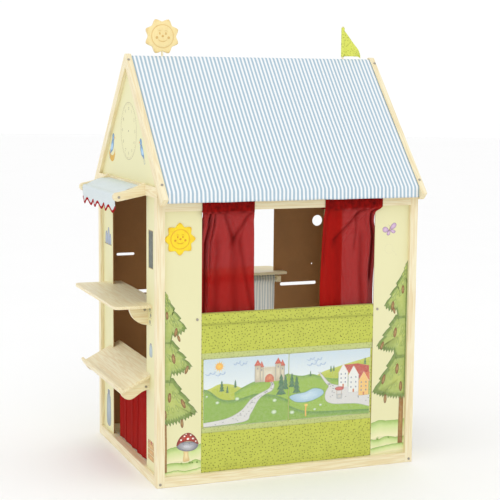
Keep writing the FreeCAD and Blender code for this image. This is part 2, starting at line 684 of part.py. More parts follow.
# ---- roof cloth ------------------------------------------------------------------
def roof_cloth():
    """Striped cloth over the ridge rail and both eave rails, with a hanging hem."""
    flat_inner = ridge_half - CLOTH_THICKNESS * (1 / pitch_cos - 1) / pitch_tan
    inner_y = eave_y - CLOTH_THICKNESS
    front = [(-eave_y, hem_bottom), (-eave_y, roof_line(eave_y, ROOF_CLOTH_SINK)),
             (-ridge_half, ridge_cloth_top)]
    under = [(-flat_inner, ridge_cloth_top - CLOTH_THICKNESS), (-inner_y, roof_line(inner_y, cloth_under)),
             (-inner_y, hem_bottom)]
    outline = front + [(-y, z) for y, z in reversed(front)] + [(-y, z) for y, z in reversed(under)] + under
    half = rafter_x - SOFT_CLEARANCE
    cloth = prism_x(outline, -half, half)
    for x in (sun_x, flag_x):
        low = FreeCAD.Vector(x, 0, ridge_rail_top)
        high = FreeCAD.Vector(x, 0, ridge_cloth_top + OVERCUT)
        cloth = cloth.cut(rod(low, high, STICK_RADIUS + CLOTH_HOLE_CLEARANCE))
    return cloth


# ---- ornaments -------------------------------------------------------------------
def lobed_disc(x, y, z, radius, wave, thickness):
    """Disc with a wavy rim in the XZ plane, its back at y and its front towards -Y."""
    steps = SUN_LOBES * 6
    points = []
    for step in range(steps):
        angle = 2 * math.pi * step / steps
        reach = radius + wave * math.cos(SUN_LOBES * angle)
        points.append(FreeCAD.Vector(x + reach * math.sin(angle), y, z + reach * math.cos(angle)))
    rim = Part.BSplineCurve()
    rim.interpolate(points, PeriodicFlag=True)
    return extrude([rim.toShape()], FreeCAD.Vector(0, -thickness, 0))


def sun_nodes():
    socket_floor = ridge_rail_top - SOCKET_DEPTH
    centre_z = ridge_cloth_top + SUN_LIFT + SUN_RADIUS + SUN_WAVE
    disc = lobed_disc(sun_x, SUN_THICKNESS / 2, centre_z, SUN_RADIUS, SUN_WAVE, SUN_THICKNESS)
    face_front = FreeCAD.Vector(sun_x, -SUN_THICKNESS / 2 - SUN_FACE_RAISE, centre_z)
    face = rod(FreeCAD.Vector(sun_x, 0, centre_z), face_front, SUN_FACE_RADIUS)
    stick_top = centre_z - SUN_RADIUS - SUN_WAVE + STICK_GRIP
    grip_end = FreeCAD.Vector(sun_x, 0, stick_top + RUNNING_CLEARANCE)
    grip_mouth = FreeCAD.Vector(sun_x, 0, ridge_cloth_top)
    grip = rod(grip_mouth, grip_end, STICK_RADIUS + RUNNING_CLEARANCE)
    stick_foot = FreeCAD.Vector(sun_x, 0, socket_floor + 2 * RUNNING_CLEARANCE)
    stick = rod(stick_foot, FreeCAD.Vector(sun_x, 0, stick_top), STICK_RADIUS)
    return {"roof_sun": [disc.fuse(face).cut(grip).removeSplitter()], "roof_sun_stick": [stick]}


def flag_nodes():
    """Pennant with a sleeve round its stick."""
    socket_floor = ridge_rail_top - SOCKET_DEPTH
    low = ridge_cloth_top + FLAG_LIFT
    high = low + FLAG_HOIST
    half = CLOTH_THICKNESS / 2
    sleeve_radius = STICK_RADIUS + SOFT_CLEARANCE + CLOTH_THICKNESS
    tip = (flag_x + FLAG_LENGTH, low + CLOTH_THICKNESS)
    pennant = prism_y([(flag_x, low), tip, (flag_x, high)], -half, half)
    sleeve = rod(FreeCAD.Vector(flag_x, 0, low), FreeCAD.Vector(flag_x, 0, high), sleeve_radius)
    bore_low = FreeCAD.Vector(flag_x, 0, low - OVERCUT)
    bore = rod(bore_low, FreeCAD.Vector(flag_x, 0, high + OVERCUT), STICK_RADIUS + SOFT_CLEARANCE)
    flag = sleeve.fuse(pennant).cut(bore).removeSplitter()
    stick_foot = FreeCAD.Vector(flag_x, 0, socket_floor + 2 * RUNNING_CLEARANCE)
    stick = rod(stick_foot, FreeCAD.Vector(flag_x, 0, high + STICK_RADIUS), STICK_RADIUS)
    return {"flag": [flag], "flag_stick": [stick]}


def strip_sun():
    x = -stage_half - STRIP_SUN_EDGE
    z = WALL_HEIGHT - STRIP_SUN_DROP
    return lobed_disc(x, -panel_out_y, z, STRIP_SUN_RADIUS, STRIP_SUN_WAVE, STRIP_SUN_THICKNESS)


# ---- screws ----------------------------------------------------------------------
def screw(head, direction, length):
    """Pan-head screw: the head stands on the surface at head, the shank goes along direction."""
    back = head.sub(FreeCAD.Vector(direction).multiply(SCREW_HEAD_HEIGHT))
    cap = rod(back, head, SCREW_HEAD_RADIUS)
    shank = rod(head, head.add(FreeCAD.Vector(direction).multiply(length)), SCREW_SHANK_RADIUS)
    return cap.fuse(shank)


def screw_hole(head, direction, length):
    back = head.sub(FreeCAD.Vector(direction).multiply(OVERCUT))
    end = head.add(FreeCAD.Vector(direction).multiply(length + SOFT_CLEARANCE))
    return rod(back, end, SCREW_SHANK_RADIUS + RUNNING_CLEARANCE)


def rafter_screws():
    """Screws through the rafters' outer edges: at the peak and at the foot of each rafter."""
    places = []
    middle_x = (half_width + rafter_x) / 2
    for side, end in ((-1, "left"), (1, "right")):
        for face, name in ((-1, "front"), (1, "rear")):
            rafter = "rafter_" + end + "_" + name
            other = "rafter_" + end + "_" + ("rear" if name == "front" else "front")
            inward = FreeCAD.Vector(0, -face * pitch_sin, -pitch_cos)
            peak_x = side * (middle_x - face * APEX_SCREW_STAGGER)
            peak = FreeCAD.Vector(peak_x, face * APEX_SCREW_REACH, roof_line(APEX_SCREW_REACH, 0))
            places.append((peak, inward, FRAME_SCREW_LENGTH, [rafter, other, "gable_panel_" + end]))
            foot_y = half_depth + FOOT_SCREW_REACH
            foot = FreeCAD.Vector(side * middle_x, face * foot_y, roof_line(foot_y, 0))
            through = [rafter, "tie_rail_" + end, "post_" + end + "_" + name]
            places.append((foot, inward, FRAME_SCREW_LENGTH, through))
    return places


def post_screws():
    """Screws through the foot of each post into the end rail."""
    places = []
    for side, end in ((-1, "left"), (1, "right")):
        for face, name in ((-1, "front"), (1, "rear")):
            head = FreeCAD.Vector(side * (half_width - POST_SCREW_INSET), face * half_depth, FOOT_SCREW_Z)
            through = ["post_" + end + "_" + name, "bottom_rail_" + end]
            places.append((head, FreeCAD.Vector(0, -face, 0), FRAME_SCREW_LENGTH, through))
    return places


def stage_screws():
    places = []
    for side, name in ((-1, "left"), (1, "right")):
        z = stage_rail_top - STAGE_RAIL_HEIGHT / 2
        head = FreeCAD.Vector(side * (stage_half + STAGE_SCREW_INSET), -panel_out_y, z)
        through = ["front_panel_" + name, "stage_rail"]
        places.append((head, FreeCAD.Vector(0, 1, 0), PANEL_SCREW_LENGTH, through))
    return places


def bracket_screws():
    """Screws in the outer faces of the awning, counter and tray brackets."""
    places = []
    counter_side = door_half + BRACKET_THICKNESS
    tray_side = door_half + TRAY_BRACKET_LAP + BRACKET_THICKNESS
    for face in (-1, 1):
        inward = FreeCAD.Vector(0, -face, 0)
        awning_head = FreeCAD.Vector(awning_rail_x, face * awning_side_out, awning_rail_z)
        places.append((awning_head, inward, AWNING_SCREW_LENGTH, ["awning_brackets", "awning_rail"]))
        counter_head = FreeCAD.Vector(-panel_out_x - POST_SCREW_INSET, face * counter_side,
                                      COUNTER_TOP - BOARD_THICKNESS - POST_SCREW_INSET)
        places.append((counter_head, inward, BRACKET_SCREW_LENGTH, ["shop_counter_brackets"]))
        tray_head = FreeCAD.Vector(-panel_out_x - POST_SCREW_INSET, face * tray_side,
                                   TRAY_WALL_TOP - TRAY_BRACKET_CURVE[0][1] + POST_SCREW_INSET)
        places.append((tray_head, inward, BRACKET_SCREW_LENGTH, ["tray_brackets"]))
    return places


def drill(nodes, places):
    """Cut each screw's hole in the pieces that it passes through, and return the screws."""
    screws = []
    for head, direction, length, through in places:
        hole = screw_hole(head, direction, length)
        for name in through:
            nodes[name] = [solid.cut(hole) for solid in nodes[name]]
        screws.append(screw(head, direction, length))
    return screws


# ---- whole house -----------------------------------------------------------------
def build():
    nodes = frame_nodes()
    nodes.update(panel_nodes())
    nodes.update(stage_nodes())
    nodes.update(counter_nodes())
    nodes.update(awning_nodes())
    nodes.update(lower_curtain_nodes())
    nodes["roof_cloth"] = [roof_cloth()]
    nodes.update(sun_nodes())
    nodes.update(flag_nodes())
    nodes["strip_sun"] = [strip_sun()]
    nodes["frame_screws"] = drill(nodes, rafter_screws() + post_screws())
    nodes["small_screws"] = drill(nodes, stage_screws() + bracket_screws())
    return nodes


def export(nodes):
    os.makedirs("parts", exist_ok=True)
    for name, solids in sorted(nodes.items()):
        for solid in solids:
            for piece in solid.Solids:
                if not piece.isValid():
                    print("not valid:", name)
        shape = solids[0] if len(solids) == 1 else Part.makeCompound(solids)
        shape.exportStep(os.path.join("parts", name + ".step"))
        print(name, len(shape.Solids), "solids", round(shape.Volume / 1000, 2), "cm3")


export(build())
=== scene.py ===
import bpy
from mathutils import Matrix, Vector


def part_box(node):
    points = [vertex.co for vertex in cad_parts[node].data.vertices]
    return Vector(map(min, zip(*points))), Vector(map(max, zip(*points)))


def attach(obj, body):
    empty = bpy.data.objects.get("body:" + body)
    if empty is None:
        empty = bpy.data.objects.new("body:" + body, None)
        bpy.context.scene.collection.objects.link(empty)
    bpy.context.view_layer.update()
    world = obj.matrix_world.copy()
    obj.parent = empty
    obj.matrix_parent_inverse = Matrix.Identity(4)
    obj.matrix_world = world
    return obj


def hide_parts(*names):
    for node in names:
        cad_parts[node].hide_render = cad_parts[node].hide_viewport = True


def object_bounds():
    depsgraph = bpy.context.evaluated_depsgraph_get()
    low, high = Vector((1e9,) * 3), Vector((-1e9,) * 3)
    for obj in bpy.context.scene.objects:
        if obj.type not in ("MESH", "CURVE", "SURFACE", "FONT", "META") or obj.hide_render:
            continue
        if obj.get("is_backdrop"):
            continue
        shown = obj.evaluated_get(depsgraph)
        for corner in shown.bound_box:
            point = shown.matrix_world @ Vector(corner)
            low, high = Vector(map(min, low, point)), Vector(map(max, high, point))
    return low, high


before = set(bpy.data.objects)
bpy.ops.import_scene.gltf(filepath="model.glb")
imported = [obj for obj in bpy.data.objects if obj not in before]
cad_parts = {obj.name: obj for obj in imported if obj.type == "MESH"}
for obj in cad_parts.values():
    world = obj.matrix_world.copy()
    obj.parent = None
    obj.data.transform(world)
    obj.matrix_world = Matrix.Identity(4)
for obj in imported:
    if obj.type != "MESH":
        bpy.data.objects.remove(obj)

import copy
import math
import random

import bmesh
import bpy
from bpy.props import FloatProperty, FloatVectorProperty, IntProperty, PointerProperty
from mathutils import Euler, Vector, noise

bl_info = {
    "name": "Wooden play house",
    "version": (1, 0, 0),
    "blender": (4, 5, 0),
    "location": "3D View > Sidebar > Play house",
    "description": "Cloths, finishes and printed decoration of a wooden play house",
    "category": "Object",
}

MM = 0.001
TURN = 2 * math.pi
FLAT_PLACE = "flat_place"     # where a point lies on the cloth before it was hung
FOLD_SHADE = "fold"                 # painted shade of a cloth, from 0 to 1: most deep in a crease, at a seam or on a doubled tunnel
INK = "ink"                   # colour of a printed shape
HAIR = 0.00004                # height of one layer of print
CARD_GAP = 1.4 * MM           # from the middle of the apron to the edge of a picture card


# ---- places and small sums ---------------------------------------------------------
def low(node):
    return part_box(node)[0]


def high(node):
    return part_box(node)[1]


PANEL_FRONT = low("front_panel_left").y
PANEL_LEFT = low("left_panel_front").x
STAGE_HALF = -high("front_panel_left").x


def clamp(value):
    return max(0.0, min(1.0, value))


def bell(value, width):
    """1 where the value is 0, and next to nothing two widths away."""
    return math.exp(-(value / width) ** 2)


def ripple(a, b, seed, size):
    """Smooth uneven value between -1 and 1."""
    return noise.noise(Vector((a * size, b * size, seed * 7.31)))


def colour(red, green, blue):
    """Screen colour, 0 to 255, as the linear values that shaders use."""
    shares = [part / 255 for part in (red, green, blue)]
    return tuple(share / 12.92 if share <= 0.04045 else ((share + 0.055) / 1.055) ** 2.4 for share in shares)


def darker(tint, share):
    return tuple(part * share for part in tint)


# ---- sizes and colours that a user would change ------------------------------------
def colour_property(name, description, *parts):
    return FloatVectorProperty(name=name, description=description, subtype="COLOR", size=3,
                               min=0, max=1, default=colour(*parts))


def length_property(name, description, default):
    return FloatProperty(name=name, description=description, default=default, min=0,
                         subtype="DISTANCE", unit="LENGTH")


def angle_property(name, description, degrees):
    return FloatProperty(name=name, description=description, default=math.radians(degrees),
                         subtype="ANGLE", unit="ROTATION")


def power_property(name, description, default):
    return FloatProperty(name=name, description=description, default=default, min=0, unit="POWER")


class PlayHouseCloth(bpy.types.PropertyGroup):
    """Sizes of the cloths."""
    roof_stripe: length_property("Roof stripe", "Pitch of the roof's stripes", 0.0143)
    rear_stripe: length_property("Rear stripe", "Pitch of the rear curtain's stripes", 0.0150)
    dot_pitch: length_property("Dot pitch", "Distance between the dots of the lime cloth", 0.0115)
    roof_sag: length_property("Roof sag", "How far the roof cloth sags between its rails", 0.0035)
    awning_sag: length_property("Awning sag", "How far the awning sags", 0.011)
    fold_depth: length_property("Fold depth", "Depth of the stage curtains' folds", 0.0085)
    points: IntProperty(name="Points", description="Points along the awning's valance", default=6, min=1)
    thickness: length_property("Cloth thickness", "Thickness of the woven cloths", 0.0009)


class PlayHouseColours(bpy.types.PropertyGroup):
    """Colours of the finishes."""
    cream: colour_property("Cream", "Printed face of the panels", 231, 227, 180)
    hardboard: colour_property("Hardboard", "Raw inner face of the panels", 166, 118, 68)
    pine_light: colour_property("Light pine", "Early wood of the frame", 241, 232, 198)
    pine_dark: colour_property("Dark pine", "Late wood of the frame", 228, 208, 162)
    lime: colour_property("Lime", "Stage apron", 196, 202, 86)
    lime_dot: colour_property("Lime dot", "Dots of the stage apron", 84, 88, 22)
    red: colour_property("Red", "Stage and shop curtains", 184, 22, 16)
    stripe_white: colour_property("Stripe white", "Light stripe of the roof cloth", 238, 241, 242)
    stripe_blue: colour_property("Stripe blue", "Dark stripe of the roof cloth", 166, 190, 206)
    sun_yellow: colour_property("Sun yellow", "Sun on the front strip", 248, 220, 10)
    sun_pale: colour_property("Sun pale", "Sun on the ridge", 242, 222, 160)


class PlayHouseStudio(bpy.types.PropertyGroup):
    """Camera and lights."""
    lens: FloatProperty(name="Lens", description="Focal length of the camera", default=93.7, min=1,
                        subtype="DISTANCE_CAMERA", unit="CAMERA")
    yaw: angle_property("Yaw", "Camera's turn towards the right end", 21.17)
    pitch: angle_property("Pitch", "Camera's tilt down", 7.28)
    roll: angle_property("Roll", "Camera's roll", 0.52)
    place: FloatVectorProperty(name="Camera place", description="Where the camera stands", size=3,
                               default=(-1.721, -4.426, 1.349), subtype="TRANSLATION", unit="LENGTH")
    key_power: power_property("Key light", "Power of the main light", 30)
    fill_power: power_property("Fill light", "Power of the fill light", 12)
    surround: FloatProperty(name="Surround", description="Strength of the white surround", default=1.02,
                            min=0)


# ---- shader expressions ------------------------------------------------------------
class Wire:
    """An output of a node. Arithmetic on it adds Math nodes to the same finish."""

    def __init__(self, finish, socket):
        self.finish = finish
        self.socket = socket

    def math(self, operation, *values):
        return self.finish.node("Math", {"operation": operation}, dict(enumerate(values)))

    def __add__(self, other):
        return self.math("ADD", self, other)

    def __radd__(self, other):
        return self.math("ADD", other, self)

    def __sub__(self, other):
        return self.math("SUBTRACT", self, other)

    def __rsub__(self, other):
        return self.math("SUBTRACT", other, self)

    def __mul__(self, other):
        return self.math("MULTIPLY", self, other)

    def __rmul__(self, other):
        return self.math("MULTIPLY", other, self)

    def sine(self):
        return self.math("SINE", self)

    def above(self, limit):
        return self.math("GREATER_THAN", self, limit)

    def between(self, start, end):
        """0 before start, 1 after end, and smooth between them."""
        settings = {"interpolation_type": "SMOOTHSTEP"}
        return self.finish.node("MapRange", settings, {0: self, 1: start, 2: end, 3: 0.0, 4: 1.0})


class Finish:
    """One material and the nodes that colour it."""

    def __init__(self, name, roughness=0.6, **constants):
        self.material = bpy.data.materials.new(name)
        self.material.use_nodes = True
        self.tree = self.material.node_tree
        self.surface = self.tree.nodes["Principled BSDF"]
        self.shade(Roughness=roughness, **constants)

    def node(self, kind, settings=None, inputs=None, output=0):
        """Any node: its type, its settings, and the values or links of its sockets."""
        made = self.tree.nodes.new("ShaderNode" + kind)
        for key, value in (settings or {}).items():
            setattr(made, key, value)
        for key, value in (inputs or {}).items():
            self.join(value, made.inputs[key])
        return Wire(self, made.outputs[output])

    def join(self, value, socket):
        if isinstance(value, Wire):
            self.tree.links.new(value.socket, socket)
        elif socket.type == "RGBA":
            socket.default_value = (*value, 1.0)
        else:
            socket.default_value = value

    def shade(self, **inputs):
        """Set the shader's sockets, by their names with _ for each space."""
        for key, value in inputs.items():
            self.join(value, self.surface.inputs[key.replace("_", " ")])

    def mix(self, share, first, second):
        return self.node("Mix", {"data_type": "RGBA"}, {0: share, 6: first, 7: second}, 2)

    def position(self):
        return self.node("TexCoord", output="Object")

    def kept(self, name, output):
        """What the mesh keeps under a name."""
        return self.node("Attribute", {"attribute_name": name}, output=output)

    def axes(self, place):
        split = self.node("SeparateXYZ", inputs={0: place}).socket.node
        return [Wire(self, output) for output in split.outputs]

    def vector(self, operation, first, second):
        socket = "Scale" if operation == "SCALE" else 1
        output = "Value" if operation in ("DOT_PRODUCT", "DISTANCE") else 0
        return self.node("VectorMath", {"operation": operation}, {0: first, socket: second}, output)

    def cloud(self, place, scale, detail=3.0, rough=0.5):
        inputs = {"Vector": place, "Scale": scale, "Detail": detail, "Roughness": rough}
        return self.node("TexNoise", None, inputs)

    def threads(self, place, across, down, detail):
        """Streaks that are drawn out along the cloth or the grain."""
        return self.cloud(self.vector("MULTIPLY", place, (across, down, 1.0)), 1.0, detail)

    def let_light_through(self, share, tint):
        """Make thin cloth glow with the light behind it."""
        if share > 0:
            through = self.node("BsdfTranslucent", None, {"Color": tint})
            surface = Wire(self, self.surface.outputs[0])
            both = self.node("MixShader", None, {0: share, 1: surface, 2: through})
            self.tree.links.new(both.socket, self.tree.nodes["Material Output"].inputs["Surface"])

    def bump(self, height, strength, distance):
        inputs = {"Strength": strength, "Distance": distance, "Height": height}
        self.shade(Normal=self.node("Bump", None, inputs))

    def weave(self, place, pitch, strength):
        """Bump of a plain weave: warp and weft threads, one over the other."""
        across, down, _ = self.axes(place)
        uneven = self.cloud(place, 45.0, 2.0)
        warp = (across * (TURN / pitch) + uneven * 2.0).sine()
        weft = (down * (TURN / pitch) + uneven * 2.0).sine()
        self.bump(warp * weft * 0.5 + 0.5, strength, 0.0003)


FINISHES = {}


def finish_once(make):
    """Keep one copy of each finish, by its name."""
    def kept(name, *details, **constants):
        if name not in FINISHES:
            FINISHES[name] = make(name, *details, **constants)
        return FINISHES[name]
    return kept


# ---- finishes: timber, board and paint ---------------------------------------------
@finish_once
def timber(name, along, light, dark):
    """Varnished wood with its grain along one direction."""
    wood = Finish(name, 0.48, Coat_Weight=0.12, Coat_Roughness=0.35)
    place = wood.position()
    direction = Vector(along).normalized()
    run = wood.vector("DOT_PRODUCT", place, direction)
    squeezed = wood.vector("ADD", place, wood.vector("SCALE", direction, run * -0.955))
    broad = wood.cloud(squeezed, 34.0, 3.0, 0.55)
    fine = wood.cloud(squeezed, 210.0, 2.0, 0.6)
    rings = (broad * 62.0).sine() * 0.5 + 0.5
    streak = rings * 0.34 + fine * 0.44 + broad * 0.22
    patch = wood.cloud(place, 3.1, 2.0)
    grain = wood.mix(streak.between(0.25, 0.85), light, dark)
    aged = wood.mix(patch.between(0.35, 0.75) * 0.18, grain, dark)
    spots = wood.node("TexVoronoi", None, {"Vector": squeezed, "Scale": 13.0, "Randomness": 1.0})
    knot = (1 - spots.between(0.0, 0.10)) * patch.above(0.60)
    wood.shade(Base_Color=wood.mix(knot * 0.45, aged, darker(dark, 0.45)), Roughness=streak * 0.12 + 0.43)
    wood.bump(fine * 0.6 + rings * 0.4, 0.12, 0.0006)
    return wood.material


@finish_once
def panel_board(name, outward, outer_face, cream, brown):
    """Thin panel: printed cream on its outer face, raw pressed board elsewhere."""
    board = Finish(name, 0.5)
    place = board.position()
    printed = board.vector("DOT_PRODUCT", place, outward).above(outer_face - 0.0004)
    wash = board.cloud(place, 5.0, 4.0, 0.6)
    fibre = board.cloud(place, 900.0, 2.0, 0.7)
    pale = board.mix(wash.between(0.3, 0.8) * 0.35, cream, darker(cream, 0.93))
    blot = board.cloud(place, 9.0, 3.0, 0.6)
    raw = board.mix(blot.between(0.3, 0.7) * 0.5, brown, darker(brown, 0.72))
    speckled = board.mix(fibre.between(0.45, 0.75) * 0.5, raw, darker(brown, 1.5))
    board.shade(Base_Color=board.mix(printed, speckled, pale), Roughness=printed * -0.24 + 0.72)
    board.bump(fibre * (1 - printed), 0.35, 0.0004)
    return board.material


@finish_once
def mottled(name, roughness, scale, detail, first, second, **constants):
    """Screw steel or bare card, clouded between two colours."""
    plain = Finish(name, roughness, **constants)
    cloud = plain.cloud(plain.position(), scale, detail)
    plain.shade(Base_Color=plain.mix(cloud.between(0.3, 0.7), first, second))
    return plain.material


@finish_once
def floor_paint(name):
    paint = Finish(name, 0.75)
    cloud = paint.cloud(paint.position(), 1.4, 3.0)
    paint.shade(Base_Color=paint.mix(cloud, (0.95, 0.95, 0.95), (0.97, 0.97, 0.97)))
    return paint.material


@finish_once
def carved_lines(name, tint):
    """Dark stain in the carved lines of a sun's face."""
    stain = Finish(name, 0.45, Coat_Weight=0.2, Coat_Roughness=0.3)
    place = stain.position()
    grain = stain.cloud(stain.vector("MULTIPLY", place, (220.0, 220.0, 14.0)), 1.0, 3.0)
    tone = stain.mix(grain.between(0.35, 0.75) * 0.35, tint, darker(tint, 0.75))
    wash = stain.cloud(place, 26.0, 3.0)
    stain.shade(Base_Color=stain.mix(wash.between(0.4, 0.8) * 0.35, tone, darker(tint, 0.75)))
    stain.bump(grain, 0.08, 0.0004)
    return stain.material


@finish_once
def carved_stain(name, tint, deep, centre, face_radius, rim_radius):
    """Stained and carved wood, darker at the rim, with painted shade in the groove round the face."""
    stain = Finish(name, 0.42, Coat_Weight=0.2, Coat_Roughness=0.3)
    place = stain.position()
    reach = stain.vector("DISTANCE", place, centre)
    rim = reach.between(rim_radius * 0.80, rim_radius)
    past_face = reach.between(face_radius, face_radius + 4 * MM)
    groove = reach.between(face_radius - 2 * MM, face_radius) * (1 - past_face)
    grain = stain.cloud(stain.vector("MULTIPLY", place, (220.0, 220.0, 14.0)), 1.0, 3.0)
    wash = stain.cloud(place, 42.0, 3.0)
    tone = stain.mix(grain.between(0.35, 0.75) * 0.20, tint, deep)
    # painted shade in the groove round the face; the rim is darker as well, and random washes darken it here
    # and there
    stain.shade(Base_Color=stain.mix(rim * 0.5 + groove * 0.7 + wash.between(0.45, 0.8) * 0.25, tone, deep))
    stain.bump(grain, 0.08, 0.0004)
    return stain.material


# ---- finishes: cloth, film and ink -------------------------------------------------
@finish_once
def striped_cloth(name, pitch, white, blue, glow):
    """White cotton with woven stripes that run down the cloth."""
    cloth = Finish(name, 0.85, Sheen_Weight=0.15, Sheen_Roughness=0.5)
    place = cloth.kept(FLAT_PLACE, "Vector")
    across = cloth.axes(place)[0] + cloth.cloud(place, 22.0, 2.0) * 0.0012
    band = (across * (TURN / pitch)).sine().between(-0.22, 0.22)
    pin = (across * (3 * TURN / pitch)).sine().between(0.75, 1.0)
    thread = cloth.threads(place, 1500.0, 60.0, 2.0)
    strong = cloth.mix(thread.between(0.3, 0.7) * 0.35, blue, darker(blue, 0.82))
    faint = cloth.mix(pin * (1 - band) * 0.10, white, blue)
    cloth.shade(Base_Color=cloth.mix(band, faint, strong))
    cloth.weave(place, 0.0011, 0.25)
    cloth.let_light_through(glow, white)
    return cloth.material


@finish_once
def dotted_cloth(name, pitch, ground, dot):
    """Cotton with small scattered dots."""
    cloth = Finish(name, 0.88, Sheen_Weight=0.15, Sheen_Roughness=0.5)
    place = cloth.kept(FLAT_PLACE, "Vector")
    spots = cloth.node("TexVoronoi", {"voronoi_dimensions": "2D"},
                       {"Vector": place, "Scale": 1 / pitch, "Randomness": 0.80})
    mark = 1 - spots.between(0.13, 0.18)
    faded = cloth.cloud(place, 300.0, 2.0)
    blot = cloth.cloud(place, 24.0, 4.0, 0.6)
    field = cloth.mix(blot.between(0.3, 0.75) * 0.42, ground, darker(ground, 0.80))
    marked = cloth.mix(mark * (faded * 0.5 + 0.60), field, dot)
    # painted shade from the mesh: along the apron's seam, below its flap, in its puckers and in a line at
    # its hem
    cloth.shade(Base_Color=cloth.mix(cloth.kept(FOLD_SHADE, "Fac"), marked, darker(ground, 0.35)))
    cloth.weave(place, 0.0010, 0.25)
    return cloth.material


@finish_once
def plain_cloth(name, tint, deep, glow, cover):
    """Light cotton whose threads show. The glow is what light comes through it, and the cover how
    much of what is behind it each face hides. Painted shade darkens it in creases and seams."""
    cloth = Finish(name, 0.85, Specular_IOR_Level=0.15)
    place = cloth.kept(FLAT_PLACE, "Vector")
    slub = cloth.threads(place, 900.0, 30.0, 3.0)
    cross = cloth.threads(place, 30.0, 900.0, 3.0)
    # painted shade from the mesh: darkens the colour in creases and seams, and makes the cloth hide more
    # there
    folded = cloth.kept(FOLD_SHADE, "Fac")
    tone = cloth.mix((slub * 0.6 + cross * 0.4).between(0.35, 0.65) * 0.4, tint, deep)
    cloth.shade(Base_Color=cloth.mix(folded, tone, darker(deep, 0.22)), Alpha=folded * (1 - cover) + cover)
    cloth.weave(place, 0.0012, 0.3)
    cloth.let_light_through(glow, tint)
    return cloth.material


@finish_once
def clear_film(name):
    film = Finish(name, 0.12, Alpha=0.05, Base_Color=(0.80, 0.84, 0.82))
    rippled = film.cloud(film.position(), 14.0, 2.0)
    film.bump(rippled, 0.25, 0.004)
    film.shade(Roughness=rippled * 0.12 + 0.08)
    return film.material


@finish_once
def printed_ink(name):
    """Print whose colour is kept in the mesh, a little uneven like a wash."""
    ink = Finish(name, 0.55)
    wash = ink.cloud(ink.position(), 85.0, 4.0, 0.65)
    tint = ink.kept(INK, "Color")
    ink.shade(Base_Color=ink.mix(wash.between(0.35, 0.75) * 0.13, tint, (0.86, 0.88, 0.62)))
    return ink.material


# ---- meshes ------------------------------------------------------------------------
def new_mesh(name, places, faces):
    mesh = bpy.data.meshes.new(name)
    mesh.from_pydata(places, [], faces)
    return mesh


def add_piece(name, mesh, material, body):
    """Add a piece that rides on a body of the frame."""
    piece = bpy.data.objects.new(name, mesh)
    bpy.context.scene.collection.objects.link(piece)
    mesh.materials.append(material)
    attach(piece, body)
    return piece


def rounded(mesh):
    """Shade a mesh as one smooth surface."""
    mesh.polygons.foreach_set("use_smooth", [True] * len(mesh.polygons))
    return mesh


def sheet_shares(columns, rows):
    """Shares across and down of the points of a sheet, row by row."""
    return [(column / columns, row / rows) for row in range(rows + 1) for column in range(columns + 1)]


def sheet_faces(columns, rows, first=0):
    """Faces of an open sheet of points that are listed row by row."""
    corners = [first + row * (columns + 1) + column for row in range(rows) for column in range(columns)]
    return [(corner, corner + 1, corner + columns + 2, corner + columns + 1) for corner in corners]


def tube_faces(around, rows, first=0):
    """Faces between closed rings of points."""
    faces = []
    for row in range(rows):
        ring_first = first + row * around
        for turn in range(around):
            a = ring_first + turn
            b = ring_first + (turn + 1) % around
            faces.append((a, b, b + around, a + around))
    return faces


def grid(name, columns, rows, spot, flat, fold=None):
    """Sheet of columns by rows faces. spot(u, v) is the hung place of a point whose shares across
    and down the cloth are u and v; flat is the cloth's width and length before it was hung, and
    fold(u, v) gives the painted shade of the point, darkest deep in a fold."""
    shares = sheet_shares(columns, rows)
    mesh = new_mesh(name, [spot(u, v) for u, v in shares], sheet_faces(columns, rows))
    cut = [part for u, v in shares for part in (u * flat[0], v * flat[1], 0.0)]
    # painted shade of each point, kept under FOLD_SHADE
    depths = [clamp(fold(u, v)) if fold else 0.0 for u, v in shares]
    mesh.attributes.new(FLAT_PLACE, "FLOAT_VECTOR", "POINT").data.foreach_set("vector", cut)
    mesh.attributes.new(FOLD_SHADE, "FLOAT", "POINT").data.foreach_set("value", depths)
    return rounded(mesh)


def thicken(piece, thickness, offset=0.0):
    solid = piece.modifiers.new("Thickness", "SOLIDIFY")
    solid.thickness = thickness
    solid.offset = offset
    return piece


def cloth_piece(name, body, finish, thickness, *shape):
    """Sheet of cloth with its thickness; shape is what grid takes."""
    return thicken(add_piece(name, grid(name, *shape), finish, body), thickness)


def declare(piece, node, slot, flat, held, rests_on, **more):
    """Hide the CAD part that a sheet of cloth stands in for."""
    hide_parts(node)


class Path:
    """A section line that cloth follows, with rounded corners: its place and outward normal by share."""

    def __init__(self, corners, step=0.004, passes=6):
        points = []
        for start, end in zip(corners, corners[1:]):
            count = max(1, round((Vector(end) - Vector(start)).length / step))
            points.extend(Vector(start).lerp(Vector(end), index / count) for index in range(count))
        points.append(Vector(corners[-1]))
        for _ in range(passes):
            inner = [(a + b * 2 + c) / 4 for a, b, c in zip(points, points[1:], points[2:])]
            points = [points[0]] + inner + [points[-1]]
        self.points = points
        self.lengths = [0.0]
        for start, end in zip(points, points[1:]):
            self.lengths.append(self.lengths[-1] + (end - start).length)
        self.length = self.lengths[-1]

    def at(self, share):
        wanted = share * self.length
        index = 0
        while index < len(self.lengths) - 2 and self.lengths[index + 1] < wanted:
            index += 1
        start = self.points[index]
        end = self.points[index + 1]
        part = (wanted - self.lengths[index]) / (self.lengths[index + 1] - self.lengths[index])
        run = (end - start).normalized()
        return start.lerp(end, part), Vector((run.y, -run.x))


# ---- roof cloth --------------------------------------------------------------------
def roof_corners():
    """Section of the roof cloth as (y, z): hem, eave, ridge, eave, hem."""
    bottom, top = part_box("roof_cloth")
    ridge_y = low("ridge_rail").y
    rail_top = high("eave_rail_front").z
    rail_y = low("eave_rail_front").y
    rise = (high("ridge_rail").z - rail_top) / (ridge_y - rail_y)
    lift = top.z - high("ridge_rail").z - 0.6 * MM
    eave_z = rail_top + lift - (rail_y - bottom.y) * rise
    front = [(bottom.y, bottom.z), (bottom.y, eave_z), (ridge_y, top.z)]
    return front + [(-y, z) for y, z in reversed(front)]


